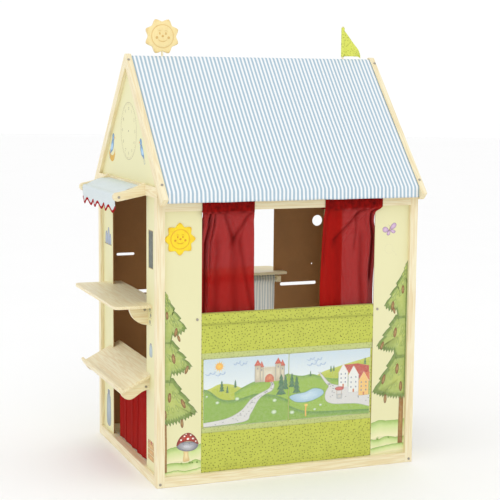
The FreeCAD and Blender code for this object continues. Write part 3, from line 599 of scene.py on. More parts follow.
def roof_cloth(sizes, finish):
    bottom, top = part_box("roof_cloth")
    path = Path(roof_corners(), 0.003, 2)
    hem_share = (roof_corners()[1][1] - bottom.z) / path.length

    def spot(u, v):
        place, inward = path.at(v)
        to_hem = min(v, 1 - v)
        between_rails = math.sin(math.pi * clamp((to_hem - hem_share) / (0.5 - hem_share)))
        edge = min(1.0, min(u, 1 - u) / 0.06)
        sag = sizes.roof_sag * between_rails * (0.45 + 0.55 * edge)
        crease = (ripple(u, v, 1, 7.0) * 1.1 + ripple(u * 5, v, 2, 5.0) * 0.5) * MM * between_rails
        hanging = max(0.0, 1 - to_hem / hem_share)
        flutter = (1 + math.sin(u * 41.0 + 2 * math.sin(u * 9.0))) * 1.6 * MM * hanging
        place = place + inward * (sag - crease - flutter + 0.4 * MM)
        x = bottom.x + (top.x - bottom.x) * u
        return (x, place.x, place.y + ripple(u, v, 3, 11.0) * 1.4 * MM * hanging)

    flat = (top.x - bottom.x, path.length)
    piece = cloth_piece("roof_cloth_striped", "house", finish, sizes.thickness, 110, 170, spot, flat)
    declare(piece, "roof_cloth", "roof_cloth", flat, "stretched",
            ["ridge_rail", "eave_rail_front", "eave_rail_rear"])


# ---- awning ------------------------------------------------------------------------
def awning_corners():
    """Section of the awning as (x, z), from the tie rail to the rod, round it and down its front."""
    bottom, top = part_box("awning_cloth")
    rod = sum(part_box("awning_rail"), Vector()) / 2
    radius = rod.x - bottom.x - 0.7 * MM
    turns = [math.radians(step) for step in range(-20, 91, 22)]
    round_rod = [(rod.x - radius * math.sin(turn), rod.z + radius * math.cos(turn)) for turn in turns]
    return [(top.x, top.z - MM)] + round_rod + [(bottom.x + 0.7 * MM, bottom.z)]


def awning_place(sizes):
    """Place on the hung awning from the shares across and down. Its valance is cut in rounded points."""
    bottom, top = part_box("awning_cloth")
    corners = awning_corners()
    path = Path(corners, 0.003, 1)
    slope = (Vector(corners[1]) - Vector(corners[0])).length / path.length
    drop = 17 * MM / path.length

    def spot(u, v):
        over = max(0.0, (v - slope - 0.2 * (1 - slope)) / (0.8 * (1 - slope)))
        notch = 0.5 + 0.5 * math.sin(math.pi * (abs(2 * (u * sizes.points % 1.0) - 1) - 0.5))
        place, outward = path.at(v * (1 - drop * notch * over))
        on_slope = math.sin(math.pi * min(1.0, v / slope)) ** 1.3
        sag = sizes.awning_sag * on_slope * (0.5 + 0.5 * math.sin(math.pi * u))
        crease = (ripple(u * 3, v, 11, 3.0) * 3.0 + ripple(u * 9, v, 12, 3.0) * 1.4) * MM * on_slope
        flutter = (0.6 + math.sin(u * math.pi * sizes.points + 0.7)) * 3.0 * MM * over
        place = place + outward * (sag - crease - flutter)
        return (place.x, bottom.y + (top.y - bottom.y) * u, place.y)

    return spot, path


def awning(sizes, finish, tape_finish):
    bottom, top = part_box("awning_cloth")
    spot, path = awning_place(sizes)
    flat = (top.y - bottom.y, path.length)
    sheet = cloth_piece("awning_sheet", "house", finish, sizes.thickness, 126, 60, spot, flat)
    tape = add_piece("awning_tape", awning_tape(spot), tape_finish, "house")
    declare(sheet, "awning_cloth", "awning_cloth", flat, "hung", ["awning_rail", "tie_rail_left"],
            with_pieces=[tape])


def awning_tape(spot):
    """Red bias tape folded over the pointed edge."""
    steps = 252
    around = 8
    places = []
    for step in range(steps + 1):
        u = step / steps
        edge = Vector(spot(u, 1.0))
        along = (Vector(spot(min(1, u + 0.002), 1.0)) - Vector(spot(max(0, u - 0.002), 1.0))).normalized()
        up = (Vector(spot(u, 0.93)) - edge).normalized()
        out = along.cross(up).normalized()
        for turn in range(around):
            angle = TURN * turn / around
            places.append(edge + up * (2.4 + 5.2 * math.cos(angle)) * MM + out * 1.9 * MM * math.sin(angle))
    ends = [tuple(reversed(range(around))), tuple(range(steps * around, len(places)))]
    return rounded(new_mesh("awning_tape", places, tube_faces(around, steps) + ends))


# ---- curtains ----------------------------------------------------------------------
class Folds:
    """Folds of a gathered curtain: creases that each follow a line of their own, and slow waves."""

    def __init__(self, seed, pull, creases):
        self.seed = seed
        self.pull = pull         # how far the fine pulls slant
        self.creases = creases   # (across, down) of both ends, half width, and height in fold depths

    def near(self, start, end, width, u, drop):
        """1 on the line of a crease and 0 away from it."""
        along = clamp((drop - start[1]) / (end[1] - start[1]))
        middle = start[0] + (end[0] - start[0]) * along + 0.02 * ripple(drop, start[0], self.seed, 2.5)
        past = max(start[1] - drop, drop - end[1], 0.0)
        return bell(u - middle, width) * bell(past, 0.07)

    def offset(self, u, drop):
        """Height of the cloth, in fold depths, at share u across and share drop down from the seam."""
        total = sum(height * self.near(start, end, width, u, drop)
                    for start, end, width, height in self.creases)
        total += 0.28 * math.sin(TURN * (u * 2.6 + ripple(drop, u, self.seed + 1, 1.1) * 0.5))
        slant = drop * self.pull
        total += 0.40 * ripple(u * 8.0 + slant, drop * 1.1, self.seed + 2, 1.0) * math.exp(-drop * 1.2)
        return total + 0.16 * ripple(u * 5.0 + slant, drop * 2.4, self.seed + 3, 2.4)

    def shade(self, u, drop):
        """Painted shade at a point: how deep in a crease it lies, and fine pulls near the top."""
        total = sum(-height * self.near(start, end, width * 0.75, u, drop)
                    for start, end, width, height in self.creases if height < 0)
        fine = max(0.0, ripple(u * 8.0 + drop * self.pull, drop * 1.1, self.seed + 4, 2.0))
        return total * 0.58 + fine * 0.30 * math.exp(-drop * 1.5)


LEFT_FOLDS = Folds(3, 2.2, [
    ((0.02, 0.0), (0.03, 1.0), 0.022, -1.0), ((0.08, 0.0), (0.07, 0.7), 0.026, 0.9),
    ((0.16, 0.0), (0.15, 1.0), 0.028, -1.5), ((0.205, 0.0), (0.21, 0.8), 0.020, 0.8),
    ((0.25, 0.0), (0.24, 0.5), 0.018, -0.8), ((0.43, 0.03), (0.60, 0.25), 0.046, -0.7),
    ((0.92, 0.0), (0.66, 0.24), 0.046, -0.7), ((0.50, 0.0), (0.67, 0.26), 0.030, 0.6),
    ((0.63, 0.25), (0.68, 1.0), 0.080, -0.5), ((0.74, 0.3), (0.97, 0.98), 0.050, -0.6),
    ((0.36, 0.3), (0.33, 1.0), 0.060, -0.5)])
RIGHT_FOLDS = Folds(9, -2.6, [
    ((0.93, 0.0), (0.95, 0.65), 0.036, -1.5), ((0.84, 0.0), (0.88, 0.9), 0.030, 0.8),
    ((0.76, 0.0), (0.22, 0.30), 0.046, -0.8), ((0.66, 0.0), (0.60, 0.35), 0.030, -0.6),
    ((0.86, 0.0), (0.36, 0.32), 0.030, 0.5), ((0.30, 0.3), (0.36, 1.0), 0.090, -0.4),
    ((0.08, 0.05), (0.05, 0.5), 0.030, -0.5), ((0.72, 0.3), (0.80, 1.0), 0.060, -0.5)])


def gathers(u, count, seed):
    """Fine uneven gathers, 0 to 1, where cloth is bunched on a beam."""
    phase = u * count + 0.9 * ripple(u, 0.3, seed, 7.0)
    return (0.5 + 0.5 * math.sin(TURN * phase)) * (0.55 + 0.45 * ripple(u, 0.8, seed + 1, 12.0))


def stage_curtain_corners():
    """Section as (y, z): seam behind the beam, over it, down its front, and down behind the apron."""
    bottom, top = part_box("curtain_left")
    beam_low, beam_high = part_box("beam_front")
    front = beam_low.y - 1.5 * MM
    rear = beam_high.y + 1.5 * MM
    back = top.y - 4.5 * MM - front
    over = beam_high.z + 1.4 * MM
    seam = beam_low.z - 8 * MM
    leans = ((0.04, 0.20), (0.08, 0.36), (0.30, 0.62), (0.62, 0.90), (0.80, 1.0), (1.0, 1.0))
    skirt = [(front + back * lean, seam - (seam - bottom.z) * share) for share, lean in leans]
    return [(rear, seam), (rear, over), (front, over), (front, seam)] + skirt


def stage_curtain(node, body, sizes, folds, finish, side, flare):
    """One stage curtain. Its tunnel wraps the beam and its skirt hangs behind the apron. The edge at
    the strip passes in front of it at the seam, through the opening and on behind it. The free edge
    leans out by flare."""
    bottom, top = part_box(node)
    corners = [Vector(corner) for corner in stage_curtain_corners()]
    path = Path(corners, 0.003, 2)
    wrap = sum((b - a).length for a, b in zip(corners[:4], corners[1:4])) / path.length
    top_share = (corners[1] - corners[0]).length / path.length
    seed = folds.seed
    header = bottom.x - 4 * MM if side < 0 else top.x - MM
    opening = side * (STAGE_HALF - 0.8 * MM)

    def spot(u, v):
        place, outward = path.at(v)
        drop = max(0.0, (v - wrap) / (1 - wrap))
        in_wrap = clamp((wrap - v) / 0.05)
        bunch = gathers(u, 17, seed) * (0.65 + 0.65 * ripple(u * 6, v * 9, seed + 5, 2.0))
        push = sizes.fold_depth * folds.offset(u, drop) * min(1.0, drop * 14.0)
        room = (6 + 7 * max(0.0, 1 - drop * 1.5)) * MM
        push = room * math.tanh(push / room)
        push += 3.2 * MM * bunch * in_wrap * (1.0 if v > top_share else 0.35)
        place = place + outward * push
        through = clamp((v - wrap + 0.02) / 0.04)
        behind = clamp((drop - 0.13) / 0.15)
        strip_edge = header + (opening - header) * through + side * 13 * MM * behind
        free_edge = (top.x if side < 0 else bottom.x) - side * (flare * drop ** 0.7 - MM)
        across = 1 - u if side < 0 else u
        sway = 1.8 * MM * ripple(v * 5, u, seed + 7, 2.0) * min(1.0, drop * 9.0)
        x = free_edge + (strip_edge - free_edge) * across + sway * math.sin(math.pi * u)
        return (x, place.x, place.y + 4 * MM * ripple(u * 2.5, 0.4, seed + 8, 2.0) * drop)

    # Painted shade: on the doubled tunnel round the beam, in a band just below the seam where the beam
    # shades the skirt, and in the creases.
    def fold(u, v):
        if v < wrap:
            return 0.42 + 0.5 * ripple(u * 9, v * 26, seed + 9, 2.0)
        drop = (v - wrap) / (1 - wrap)
        return folds.shade(u, drop) + 0.30 * math.exp(-drop / 0.02)

    flat = ((top.x - bottom.x) * 1.28, path.length)
    piece = cloth_piece("stage_" + node, body, finish, sizes.thickness * 0.7, 170, 140, spot, flat, fold)
    declare(piece, node, "red_cloth", flat, "gathered", ["beam_front"])


def rod_curtain(node, body, sizes, finish, slot, count, seed, fullness, fold_share, heading, hem):
    """Curtain that is gathered on a rod. Its heading stands above the rod, its tunnel wraps the rod and
    its skirt hangs below, down to the hem."""
    bottom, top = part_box(node)
    rod_low, rod_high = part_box(node + "_rod")
    run, across = (0, 1) if top.x - bottom.x > top.y - bottom.y else (1, 0)
    middle = (bottom[across] + top[across]) / 2
    half = (top[across] - bottom[across]) / 2
    rod_z = (rod_low.z + rod_high.z) / 2
    radius = (rod_high.z - rod_low.z) / 2 + 1.6 * MM
    rear = [(middle + radius * 0.8, rod_z - radius), (middle + radius, rod_z),
            (middle + radius * 0.4, rod_z + radius)]
    top_line = [(middle + MM, rod_z + radius + heading), (middle - MM, rod_z + radius + heading)]
    front = [(2 * middle - place, z) for place, z in reversed(rear)]
    path = Path(rear + top_line + front + [(middle, rod_z - 2.2 * radius), (middle, hem)], 0.003, 1)
    wrapped = (3.2 * radius * 2 + 2 * heading) / path.length

    def turns(u, drop):
        return TURN * (u * count + 0.55 * ripple(u, drop * 0.04, seed, 5.0))

    # Painted shade in the valleys of the gathers and just below the rod; the red cloth reads it, the striped
    # cloth does not.
    def fold(u, v):
        drop = max(0.0, (v - wrapped) / (1 - wrapped))
        return 0.26 * (0.5 - 0.5 * math.sin(turns(u, drop))) ** 4 + 0.3 * bell(v - wrapped, 0.02)

    def spot(u, v):
        place, outward = path.at(v)
        drop = max(0.0, (v - wrapped) / (1 - wrapped))
        below = min(1.0, drop * 5)
        turn = turns(u, drop)
        depth = 0.26 + 0.22 * min(1.0, drop * 3) + 0.14 * ripple(u * 3, drop * 0.5, seed + 2, 3.0)
        wave = math.sin(turn) * fold_share * half * depth * below * (1 - 0.55 * bell(v - wrapped, 0.03))
        bunch = 1.6 * MM * (0.5 + 0.5 * math.sin(turn * 2)) * max(0.0, 1 - v / wrapped)
        place = place + outward * (wave + bunch)
        hung = Vector((0.0, 0.0, place.y + 3 * MM * ripple(u * 4, 0.1, seed + 3, 2.0) * drop))
        gather = 0.105 * fold_share / count * math.sin(turn * 2) * below
        hung[run] = bottom[run] + (top[run] - bottom[run]) * clamp(u + gather)
        hung[across] = place.x
        return hung

    flat = ((top[run] - bottom[run]) * fullness, path.length)
    piece = cloth_piece(node + "_cloth", body, finish, sizes.thickness * 0.7, 40 * count, 70, spot, flat,
                        fold)
    declare(piece, node, slot, flat, "gathered", [node + "_rod"])


# ---- stage apron -------------------------------------------------------------------
def apron(sizes, finish):
    """Lime cloth: behind the stage rail, over it, and down the front to the bottom rail, with a flap."""
    bottom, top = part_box("stage_apron")
    binding_low, binding_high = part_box("apron_bindings")
    back_y = high("stage_rail").y + 0.8 * MM
    front_y = bottom.y + 0.6 * MM
    over = top.z - 0.8 * MM
    tunnel_end = bottom.z + 511 * MM
    path = Path([(back_y, tunnel_end), (back_y, over), (front_y, over), (front_y, bottom.z)], 0.004, 1)
    seam_z = low("stage_rail").z - 3 * MM

    def spot(u, v):
        place, outward = path.at(v)
        z = place.y
        in_front = 1.0 if place.x < bottom.y + 3 * MM else 0.0
        flap = 1.0 if z > seam_z else 0.0
        pulls = ripple(u * 9 + z * 14, z * 10, 31, 1.4) + 0.6 * ripple(u * 22 - z * 30, z * 16, 32, 1.2)
        puff = 2.2 * MM * math.sin(math.pi * clamp((z - seam_z) / (top.z - seam_z)))
        height = flap * (puff + 1.6 * MM * pulls * (1 - bell(z - seam_z, 0.004)))
        free_low = clamp((binding_low.z - z) / 0.04)
        free_high = clamp((z - binding_high.z) / 0.03) * (1 - flap)
        loose = max(free_low, free_high)
        height += loose * 2.4 * MM * (0.45 + ripple(u * 5, z * 6, 33, 1.3))
        height += loose * 0.9 * MM * (0.5 + ripple(u * 16 + z * 20, z * 12, 34, 1.3))
        height = max(height, -0.2 * MM) * in_front
        return (bottom.x + (top.x - bottom.x) * u, place.x + outward.x * height, z)

    # Painted shade along the seam, a painted shadow just below the flap, painted shade in the puckers over
    # it, and a darker line 14 mm above the bottom edge.
    def fold(u, v):
        z = path.at(v)[0].y
        shadow_under_flap = math.exp(-max(0.0, seam_z - z) / 0.012) * (1.0 if z < seam_z else 0.0)
        pucker_shade = max(0.0, ripple(u * 26, z * 40, 35, 1.4)) * bell(z - seam_z - 0.012, 0.016)
        hem = bell(z - bottom.z - 0.014, 0.0015)
        return 0.42 * bell(z - seam_z, 0.0035) + 0.16 * shadow_under_flap + 0.40 * pucker_shade + 0.22 * hem

    flat = (top.x - bottom.x, path.length)
    return cloth_piece("apron_sheet", "house", finish, 0.7 * MM, 170, 220, spot, flat, fold), flat


def bindings(finish):
    """Ribbons that close the pockets: below, above and down the middle, rounded with pressed edges."""
    bottom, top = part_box("apron_bindings")
    film_low, film_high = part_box("picture_pockets")
    lower = film_low.z + 3 * MM
    upper = film_high.z - 3 * MM
    back = top.y + 0.05 * MM
    rise = back - bottom.y + 0.35 * MM
    places = []
    faces = []
    for x0, x1, z0, z1, columns, rows in ((bottom.x, top.x, bottom.z, lower, 90, 6),
                                          (bottom.x, top.x, upper, top.z, 90, 6),
                                          (-1.1 * MM, 1.1 * MM, lower, upper, 4, 40)):
        faces += sheet_faces(columns, rows, len(places))
        for u, v in sheet_shares(columns, rows):
            edge = min(1.0, 5 * min(v, 1 - v), 40 * min(u, 1 - u))
            wrinkle = 0.12 * ripple(u * 30 * (x1 - x0), v, 41 + z0, 3.0)
            stitched = 1 - 0.35 * bell(min(v, 1 - v) - 0.22, 0.07)
            height = rise * edge * (0.82 + wrinkle) * stitched
            places.append((x0 + (x1 - x0) * u, back - height, z0 + (z1 - z0) * v))
    mesh = rounded(new_mesh("apron_ribbons", places, faces))
    cut = [part for x, _, z in places for part in (x, z, 0.0)]
    mesh.attributes.new(FLAT_PLACE, "FLOAT_VECTOR", "POINT").data.foreach_set("vector", cut)
    piece = thicken(add_piece("apron_ribbons", mesh, finish, "house"), 0.3 * MM, -1.0)
    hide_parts("apron_bindings")
    return piece


# ---- pennant -----------------------------------------------------------------------
def pennant(finish):
    """Triangular flag: a sleeve round its stick and a tip that curls down."""
    bottom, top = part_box("flag")
    x = (low("flag_stick").x + high("flag_stick").x) / 2
    sleeve = x - bottom.x
    reach = top.x - x
    hoist = top.z - bottom.z
    wrap = TURN * sleeve
    turn_share = wrap / (wrap + reach)
    ring_radius = sleeve * 0.93

    def spot(u, v):
        if u < turn_share:
            angle = TURN * u / turn_share
            return (x - ring_radius * math.cos(angle), ring_radius * math.sin(angle), top.z - hoist * v)
        out = (u - turn_share) / (1 - turn_share)
        upper = top.z - hoist * out * 0.97
        z = upper + (bottom.z + 2 * MM - upper) * v
        wave = 10 * MM * math.sin(3.6 * out + 0.4) * out + 3 * MM * math.sin(9 * out + 4 * v)
        curl = max(0.0, (out - 0.72) / 0.28)
        x_out = x - ring_radius + (reach + sleeve) * (out - 0.16 * curl ** 2)
        return (x_out, -wave - 12 * MM * curl ** 2, z - 7 * MM * curl ** 1.6)

    flat = (reach + wrap, hoist)
    piece = cloth_piece("pennant", "flag_body", finish, 0.6 * MM, 70, 40, spot, flat)
    declare(piece, "flag", "pennant_cloth", flat, "hung", ["flag_stick"], area=hoist * (wrap + reach / 2))


# ---- frame finishes ----------------------------------------------------------------
GRAIN = {
    "x": ("bottom_rail_front", "bottom_rail_rear", "beam_front", "beam_rear", "ridge_rail",
          "eave_rail_front", "eave_rail_rear", "stage_rail", "rear_curtain_rod", "rear_counter",
          "shop_counter_brackets", "tray_brackets", "awning_brackets"),
    "y": ("bottom_rail_left", "bottom_rail_right", "tie_rail_left", "tie_rail_right", "awning_rail",
          "shop_curtain_rod", "shop_counter", "shop_tray", "tray_lip", "rod_blocks"),
    "z": ("post_left_front", "post_left_rear", "post_right_front", "post_right_rear",
          "rear_counter_brackets", "roof_sun_stick", "flag_stick"),
}
OUTER_FACES = {"front": ((0, -1, 0), -PANEL_FRONT), "rear": ((0, 1, 0), high("rear_panel_left").y),
               "left": ((-1, 0, 0), -PANEL_LEFT), "right": ((1, 0, 0), high("right_panel_front").x)}


def dress(node, material):
    """Give a CAD piece its finish."""
    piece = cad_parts[node]
    if not piece.material_slots:
        piece.data.materials.append(None)
    for holder in piece.material_slots:
        holder.material = material


def finish_timber(colours):
    light = colours.pine_light
    dark = colours.pine_dark
    for axis, nodes in GRAIN.items():
        along = [float(axis == letter) for letter in "xyz"]
        for node in nodes:
            dress(node, timber("pine_" + axis, along, light, dark))
    for side in ("left", "right"):
        for end, lean in (("front", 1), ("rear", -1)):
            node = "rafter_%s_%s" % (side, end)
            size = high(node) - low(node)
            dress(node, timber("pine_rafter_" + end, (0, lean * size.y, size.z), light, dark))


def finish_panels(colours):
    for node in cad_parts:
        if "_panel_" in node:
            first, last = node.split("_panel_")
            side = last if first == "gable" else first
            dress(node, panel_board("panel_" + side, *OUTER_FACES[side], colours.cream, colours.hardboard))


# ---- drawing -----------------------------------------------------------------------
def smooth_line(points, steps=5, closed=False):
    """Smooth line through a few points."""
    count = len(points)
    line = []
    for index in range(count if closed else count - 1):
        near = [index + shift for shift in (-1, 0, 1, 2)]
        near = [at % count if closed else max(0, min(count - 1, at)) for at in near]
        before, start, end, after = (Vector(points[at]) for at in near)
        for step in range(steps):
            t = step / steps
            square = (2 * before - 5 * start + 4 * end - after) * t ** 2
            cube = (3 * start - 3 * end + after - before) * t ** 3
            line.append(0.5 * (2 * start + (end - before) * t + square + cube))
    return line if closed else line + [Vector(points[-1])]


def ring(across, up, half_width, half_height, steps=20, lean=0.0):
    """Oval outline."""
    turn = math.radians(lean)
    points = []
    for step in range(steps):
        x = half_width * math.cos(TURN * step / steps)
        y = half_height * math.sin(TURN * step / steps)
        points.append(Vector((across + x * math.cos(turn) - y * math.sin(turn),
                              up + x * math.sin(turn) + y * math.cos(turn))))
    return points


def oblong(x0, y0, x1, y1):
    return [(x0, y0), (x1, y0), (x1, y1), (x0, y1)]


class Print:
    """Flat shapes of ink in thin layers on one face of the house. Places are in millimetres, and tints
    are screen colours."""

    def __init__(self, name, on_face):
        self.name = name
        self.on_face = on_face     # on_face(across, up, height) is a place in the house
        self.places = []
        self.faces = []
        self.tints = []
        self.origin = Vector((0.0, 0.0))
        self.scale = Vector((1.0, 1.0))
        self.layer = 0.0

    def moved(self, across, up, layer=0.0, size=1.0, facing=1):
        """The same print, for a motif that is drawn round its own origin and layer."""
        motif = copy.copy(self)
        motif.origin = self.origin + Vector((across, up))
        motif.scale = Vector((facing * size, size))
        motif.layer = self.layer + layer
        return motif

    def placed(self, outline):
        return [self.origin + self.scale * Vector(spot) for spot in outline]

    def point(self, spot, layer, tint):
        self.places.append(self.on_face(spot.x * MM, spot.y * MM, (self.layer + layer) * HAIR))
        self.tints.append((*tint, 1.0))
        return len(self.places) - 1

    def ordered(self, outline):
        """Placed outline that runs the same way round whatever way it was given."""
        spots = self.placed(outline)
        area = sum(a.cross(b) for a, b in zip(spots, spots[1:] + spots[:1]))
        return spots if area > 0 else spots[::-1]

    def fill(self, outline, tint, layer=0.0):
        """Shape of one colour."""
        self.faces.append([self.point(spot, layer, colour(*tint)) for spot in self.ordered(outline)])

    def blob(self, outline, tint, edge, layer=0.0, middle=None):
        """Shape that is one colour in its middle and another at its edge. An edge that is a number is a
        share of the middle's colour."""
        inside = colour(*tint)
        outside = colour(*edge) if isinstance(edge, tuple) else darker(inside, edge)
        spots = self.ordered(outline)
        heart = self.placed([middle])[0] if middle else sum(spots, Vector((0.0, 0.0))) / len(spots)
        centre = self.point(heart, layer, inside)
        rim = [self.point(spot, layer, outside) for spot in spots]
        for a, b in zip(rim, rim[1:] + rim[:1]):
            self.faces.append([centre, a, b])

    def strip(self, first, second, first_tint, second_tint, layer):
        """Band between two lines."""
        upper = [self.point(spot, layer, first_tint) for spot in first]
        lower = [self.point(spot, layer, second_tint) for spot in second]
        for index in range(len(upper) - 1):
            self.faces.append([lower[index], lower[index + 1], upper[index + 1], upper[index]])

    def wash(self, line, depth, tint, faded, layer=0.0):
        """Band under a line: coloured at the line and fading downwards."""
        upper = self.placed(line)
        lower = [spot - Vector((0.0, depth)) for spot in upper]
        self.strip(upper, lower, colour(*tint), colour(*faded), layer)

    def line(self, points, width, tint, layer=0.0, closed=False):
        """Pen line."""
        spots = self.placed(points)
        if closed:
            spots.append(spots[0])
        sides = []
        for index in range(len(spots)):
            run = spots[min(index + 1, len(spots) - 1)] - spots[max(index - 1, 0)]
            if closed and index in (0, len(spots) - 1):
                run = spots[1] - spots[-2]
            sides.append(Vector((-run.y, run.x)).normalized() * width / 2)
        left = [spot + side for spot, side in zip(spots, sides)]
        right = [spot - side for spot, side in zip(spots, sides)]
        self.strip(left, right, colour(*tint), colour(*tint), layer)

    def make(self, slot):
        mesh = new_mesh(self.name, self.places, self.faces)
        colours = mesh.color_attributes.new(INK, "FLOAT_COLOR", "POINT")
        colours.data.foreach_set("color", [part for tint in self.tints for part in tint])
        add_piece(self.name, mesh, printed_ink("printed_ink"), "house")


def on_front(across, up, height):
    return (across, PANEL_FRONT - HAIR - height, up)


def on_left(across, up, height):
    return (PANEL_LEFT - HAIR - height, -across, up)


def on_card(across, up, height):
    return (across, low("picture_cards").y - HAIR / 2 - height, low("picture_cards").z + up)


# ---- prints on the front strips ----------------------------------------------------
LEAF = (164, 182, 98)
LEAF_LIGHT = (190, 200, 106)
LEAF_DARK = (110, 136, 66)
LEAF_LINE = (84, 106, 50)
CONE = (194, 160, 98)
CONE_LINE = (124, 76, 40)
BARK = (186, 142, 84)
BARK_LINE = (142, 98, 52)
GRASS = (150, 186, 92)
GRASS_PALE = (206, 222, 150)
GRASS_LINE = (120, 158, 62)
CREAM_INK = (240, 234, 190)
SPRIG_SPREAD = ((0.0, 0.35), (0.3, 0.85), (0.6, 1.0), (0.82, 0.72), (1.0, 0.0))


class StripFir:
    """Half of a fir, with its trunk at the post. Places are measured from the post's edge."""

    def __init__(self, picture, tiers, cones, trunk, seed):
        self.picture = picture
        self.tiers = tiers
        self.cones = cones
        self.trunk = trunk
        self.random = random.Random(seed)

    def beside_post(self, outline):
        return [Vector((max(0.0, spot[0]), spot[1])) for spot in outline]

    def sprig(self, root, length, width, lean, layer):
        """Drooping tongue of needles, drawn as an outline with a lighter middle."""
        run = Vector((math.sin(lean), -math.cos(lean)))
        side = Vector((-run.y, run.x)) * width / 2
        outline = [root + run * length * share + side * spread for share, spread in SPRIG_SPREAD]
        outline += [root + run * length * share - side * spread for share, spread in SPRIG_SPREAD[-2::-1]]
        placed = self.beside_post(smooth_line(outline, 3))
        self.picture.blob(placed, LEAF_LIGHT, LEAF, layer)
        self.picture.line(placed, 0.9, LEAF_DARK, layer + 0.4)

    def tier(self, start, tip, hem, below, layer):
        """One tier: a stepped slope from start out to the tip, a ragged hem back towards the trunk, and
        the needles beside the trunk that go on into the tier below."""
        rng = self.random
        start = Vector(start)
        tip = Vector(tip)
        hem = Vector(hem)
        outline = [Vector((0.0, start.y + 4.0)), start]
        for step in (1, 2, 3):
            corner = start.lerp(tip, step / 3)
            outline.append(start.lerp(tip, (step - 0.45) / 3) + Vector((-1.0, 2.0)))
            if step < 3:
                outline.append(corner + Vector((2.5, 1.5)))
                outline.append(corner + Vector((-4.5, -3.5)))
            else:
                outline.append(corner)
        teeth = max(4, round((tip - hem).length / 11))
        for tooth in range(teeth):
            sag = 7.0 * math.sin(math.pi * (tooth + 0.5) / teeth)
            near = tip.lerp(hem, (tooth + 0.45) / teeth)
            far = tip.lerp(hem, (tooth + 0.95) / teeth)
            outline.append(near + Vector((-1.0, 5.0 - sag + rng.uniform(-1, 1))))
            outline.append(far + Vector((1.5, -6.0 - sag + rng.uniform(-2, 2))))
        outline += [(hem.x * 0.8, below), (0.0, below)]
        placed = self.beside_post(outline)
        middle = Vector((min(24.0, tip.x * 0.3), (start.y + 2 * tip.y) / 3))
        self.picture.blob(placed, LEAF_LIGHT, LEAF_DARK, layer, middle)
        inner = [spot.lerp(middle, 0.22) for spot in placed]
        self.picture.blob(inner, LEAF_LIGHT, LEAF, layer + 0.5, middle)
        self.picture.line(placed[1:-1], 1.3, LEAF_LINE, layer + 0.8)
        for index in range(9):
            share = rng.uniform(0.10, 0.86)
            edge = start.lerp(tip, share)
            out = rng.uniform(4.0, max(6.0, edge.x - 12.0))
            top = edge.y - rng.uniform(4.0, 26.0) * (1 - share)
            lean = rng.uniform(0.15, 0.75)
            root = Vector((out, top))
            self.sprig(root, rng.uniform(18, 30), rng.uniform(7, 10), lean, layer + 1.0 + 0.12 * index)

    def cone(self, out, up, size, lean):
        outline = ring(out, up, 5.0 * size, 15.0 * size, 18, lean)
        self.picture.blob(outline, CONE, CONE_LINE, 6.4)
        self.picture.line(outline, 0.9, CONE_LINE, 6.8, True)
        run = Vector((-math.sin(math.radians(lean)), math.cos(math.radians(lean))))
        for row in range(-2, 3):
            half = 4.2 * size * math.sqrt(1 - (row / 3.2) ** 2)
            x, y = Vector((out, up)) + run * row * 4.9 * size
            scale = [(x - half, y + 1.0), (x, y - 0.9), (x + half, y + 1.0)]
            self.picture.line(smooth_line(scale, 3), 0.6, CONE_LINE, 6.9)

    def draw(self):
        inner, outer, foot, top = self.trunk
        self.picture.blob([(inner, foot), (outer, foot - 2.0), (outer - 1.5, top), (inner, top)],
                          BARK, BARK_LINE, 1.0)
        for share in (0.3, 0.62, 0.85):
            x = inner + (outer - inner) * share
            grain = [(x, foot + 4), (x + 1.2, (foot + top) / 2), (x, top - 4)]
            self.picture.line(smooth_line(grain), 0.7, BARK_LINE, 1.4)
        below = [start[1] - 26 for start, _, _ in self.tiers[1:]] + [self.tiers[-1][2][1]]
        for index, (tier, foot) in enumerate(reversed(list(zip(self.tiers, below)))):
            self.tier(*tier, foot, 2.0 + 0.02 * index)
        for cone in self.cones:
            self.cone(*cone)


def grass_band(picture, spots, depth, seed, layer):
    """Watercolour hill: a ragged line with a wash that fades below it."""
    rng = random.Random(seed)
    line = [Vector((x, y + rng.uniform(-0.8, 0.8))) for x, y in smooth_line(spots, 8)]
    picture.wash(line, depth * 0.35, GRASS, GRASS_PALE, layer)
    lower = [spot - Vector((0.0, depth * 0.35)) for spot in line]
    picture.wash(lower, depth * 0.65, GRASS_PALE, CREAM_INK, layer)
    picture.line(line, 1.3, GRASS_LINE, layer + 0.3)


def tuft(picture, across, up, height, layer):
    """Five blades of grass."""
    for lean in (-0.4, -0.2, 0.0, 0.2, 0.4):
        foot = across + lean * height * 0.5
        top = (across + lean * height * 1.1, up + height * (1 - abs(lean) * 0.7))
        picture.fill([(foot - 1.2, up), (foot + 1.2, up), top], GRASS_LINE, layer)


def mushroom(picture):
    """Red spotted mushroom, drawn round the foot of its stem."""
    stem = [(-13, 0), (-11, 22), (-10, 44), (4, 44), (6, 20), (10, 2), (-1, -2)]
    picture.blob(smooth_line(stem, 4, True), (244, 226, 170), (214, 180, 120))
    gills = [(-36, 52), (-24, 40), (0, 33), (26, 36), (41, 50), (30, 62), (0, 67), (-28, 63)]
    picture.blob(smooth_line(gills, 4, True), (230, 230, 236), (104, 104, 118), 0.3)
    for spoke in range(-7, 8):
        picture.line([(spoke * 5.0, 39 + 0.22 * spoke ** 2), (spoke * 1.4, 60)], 0.7, (112, 112, 132), 0.6)
    cap = [(-36, 54), (-31, 74), (-14, 92), (8, 97), (28, 84), (40, 64), (41, 54), (24, 64), (2, 68),
           (-20, 64)]
    picture.blob(smooth_line(cap, 4, True), (196, 52, 38), (128, 26, 26), 0.9, (0, 80))
    for x, y, radius in ((-20, 74, 3.6), (-8, 86, 3.2), (4, 76, 4.4), (14, 88, 3.0), (22, 76, 3.6),
                         (32, 66, 2.8), (-2, 93, 2.2)):
        picture.fill(ring(x, y, radius, radius * 0.8, 12), (250, 246, 238), 1.3)


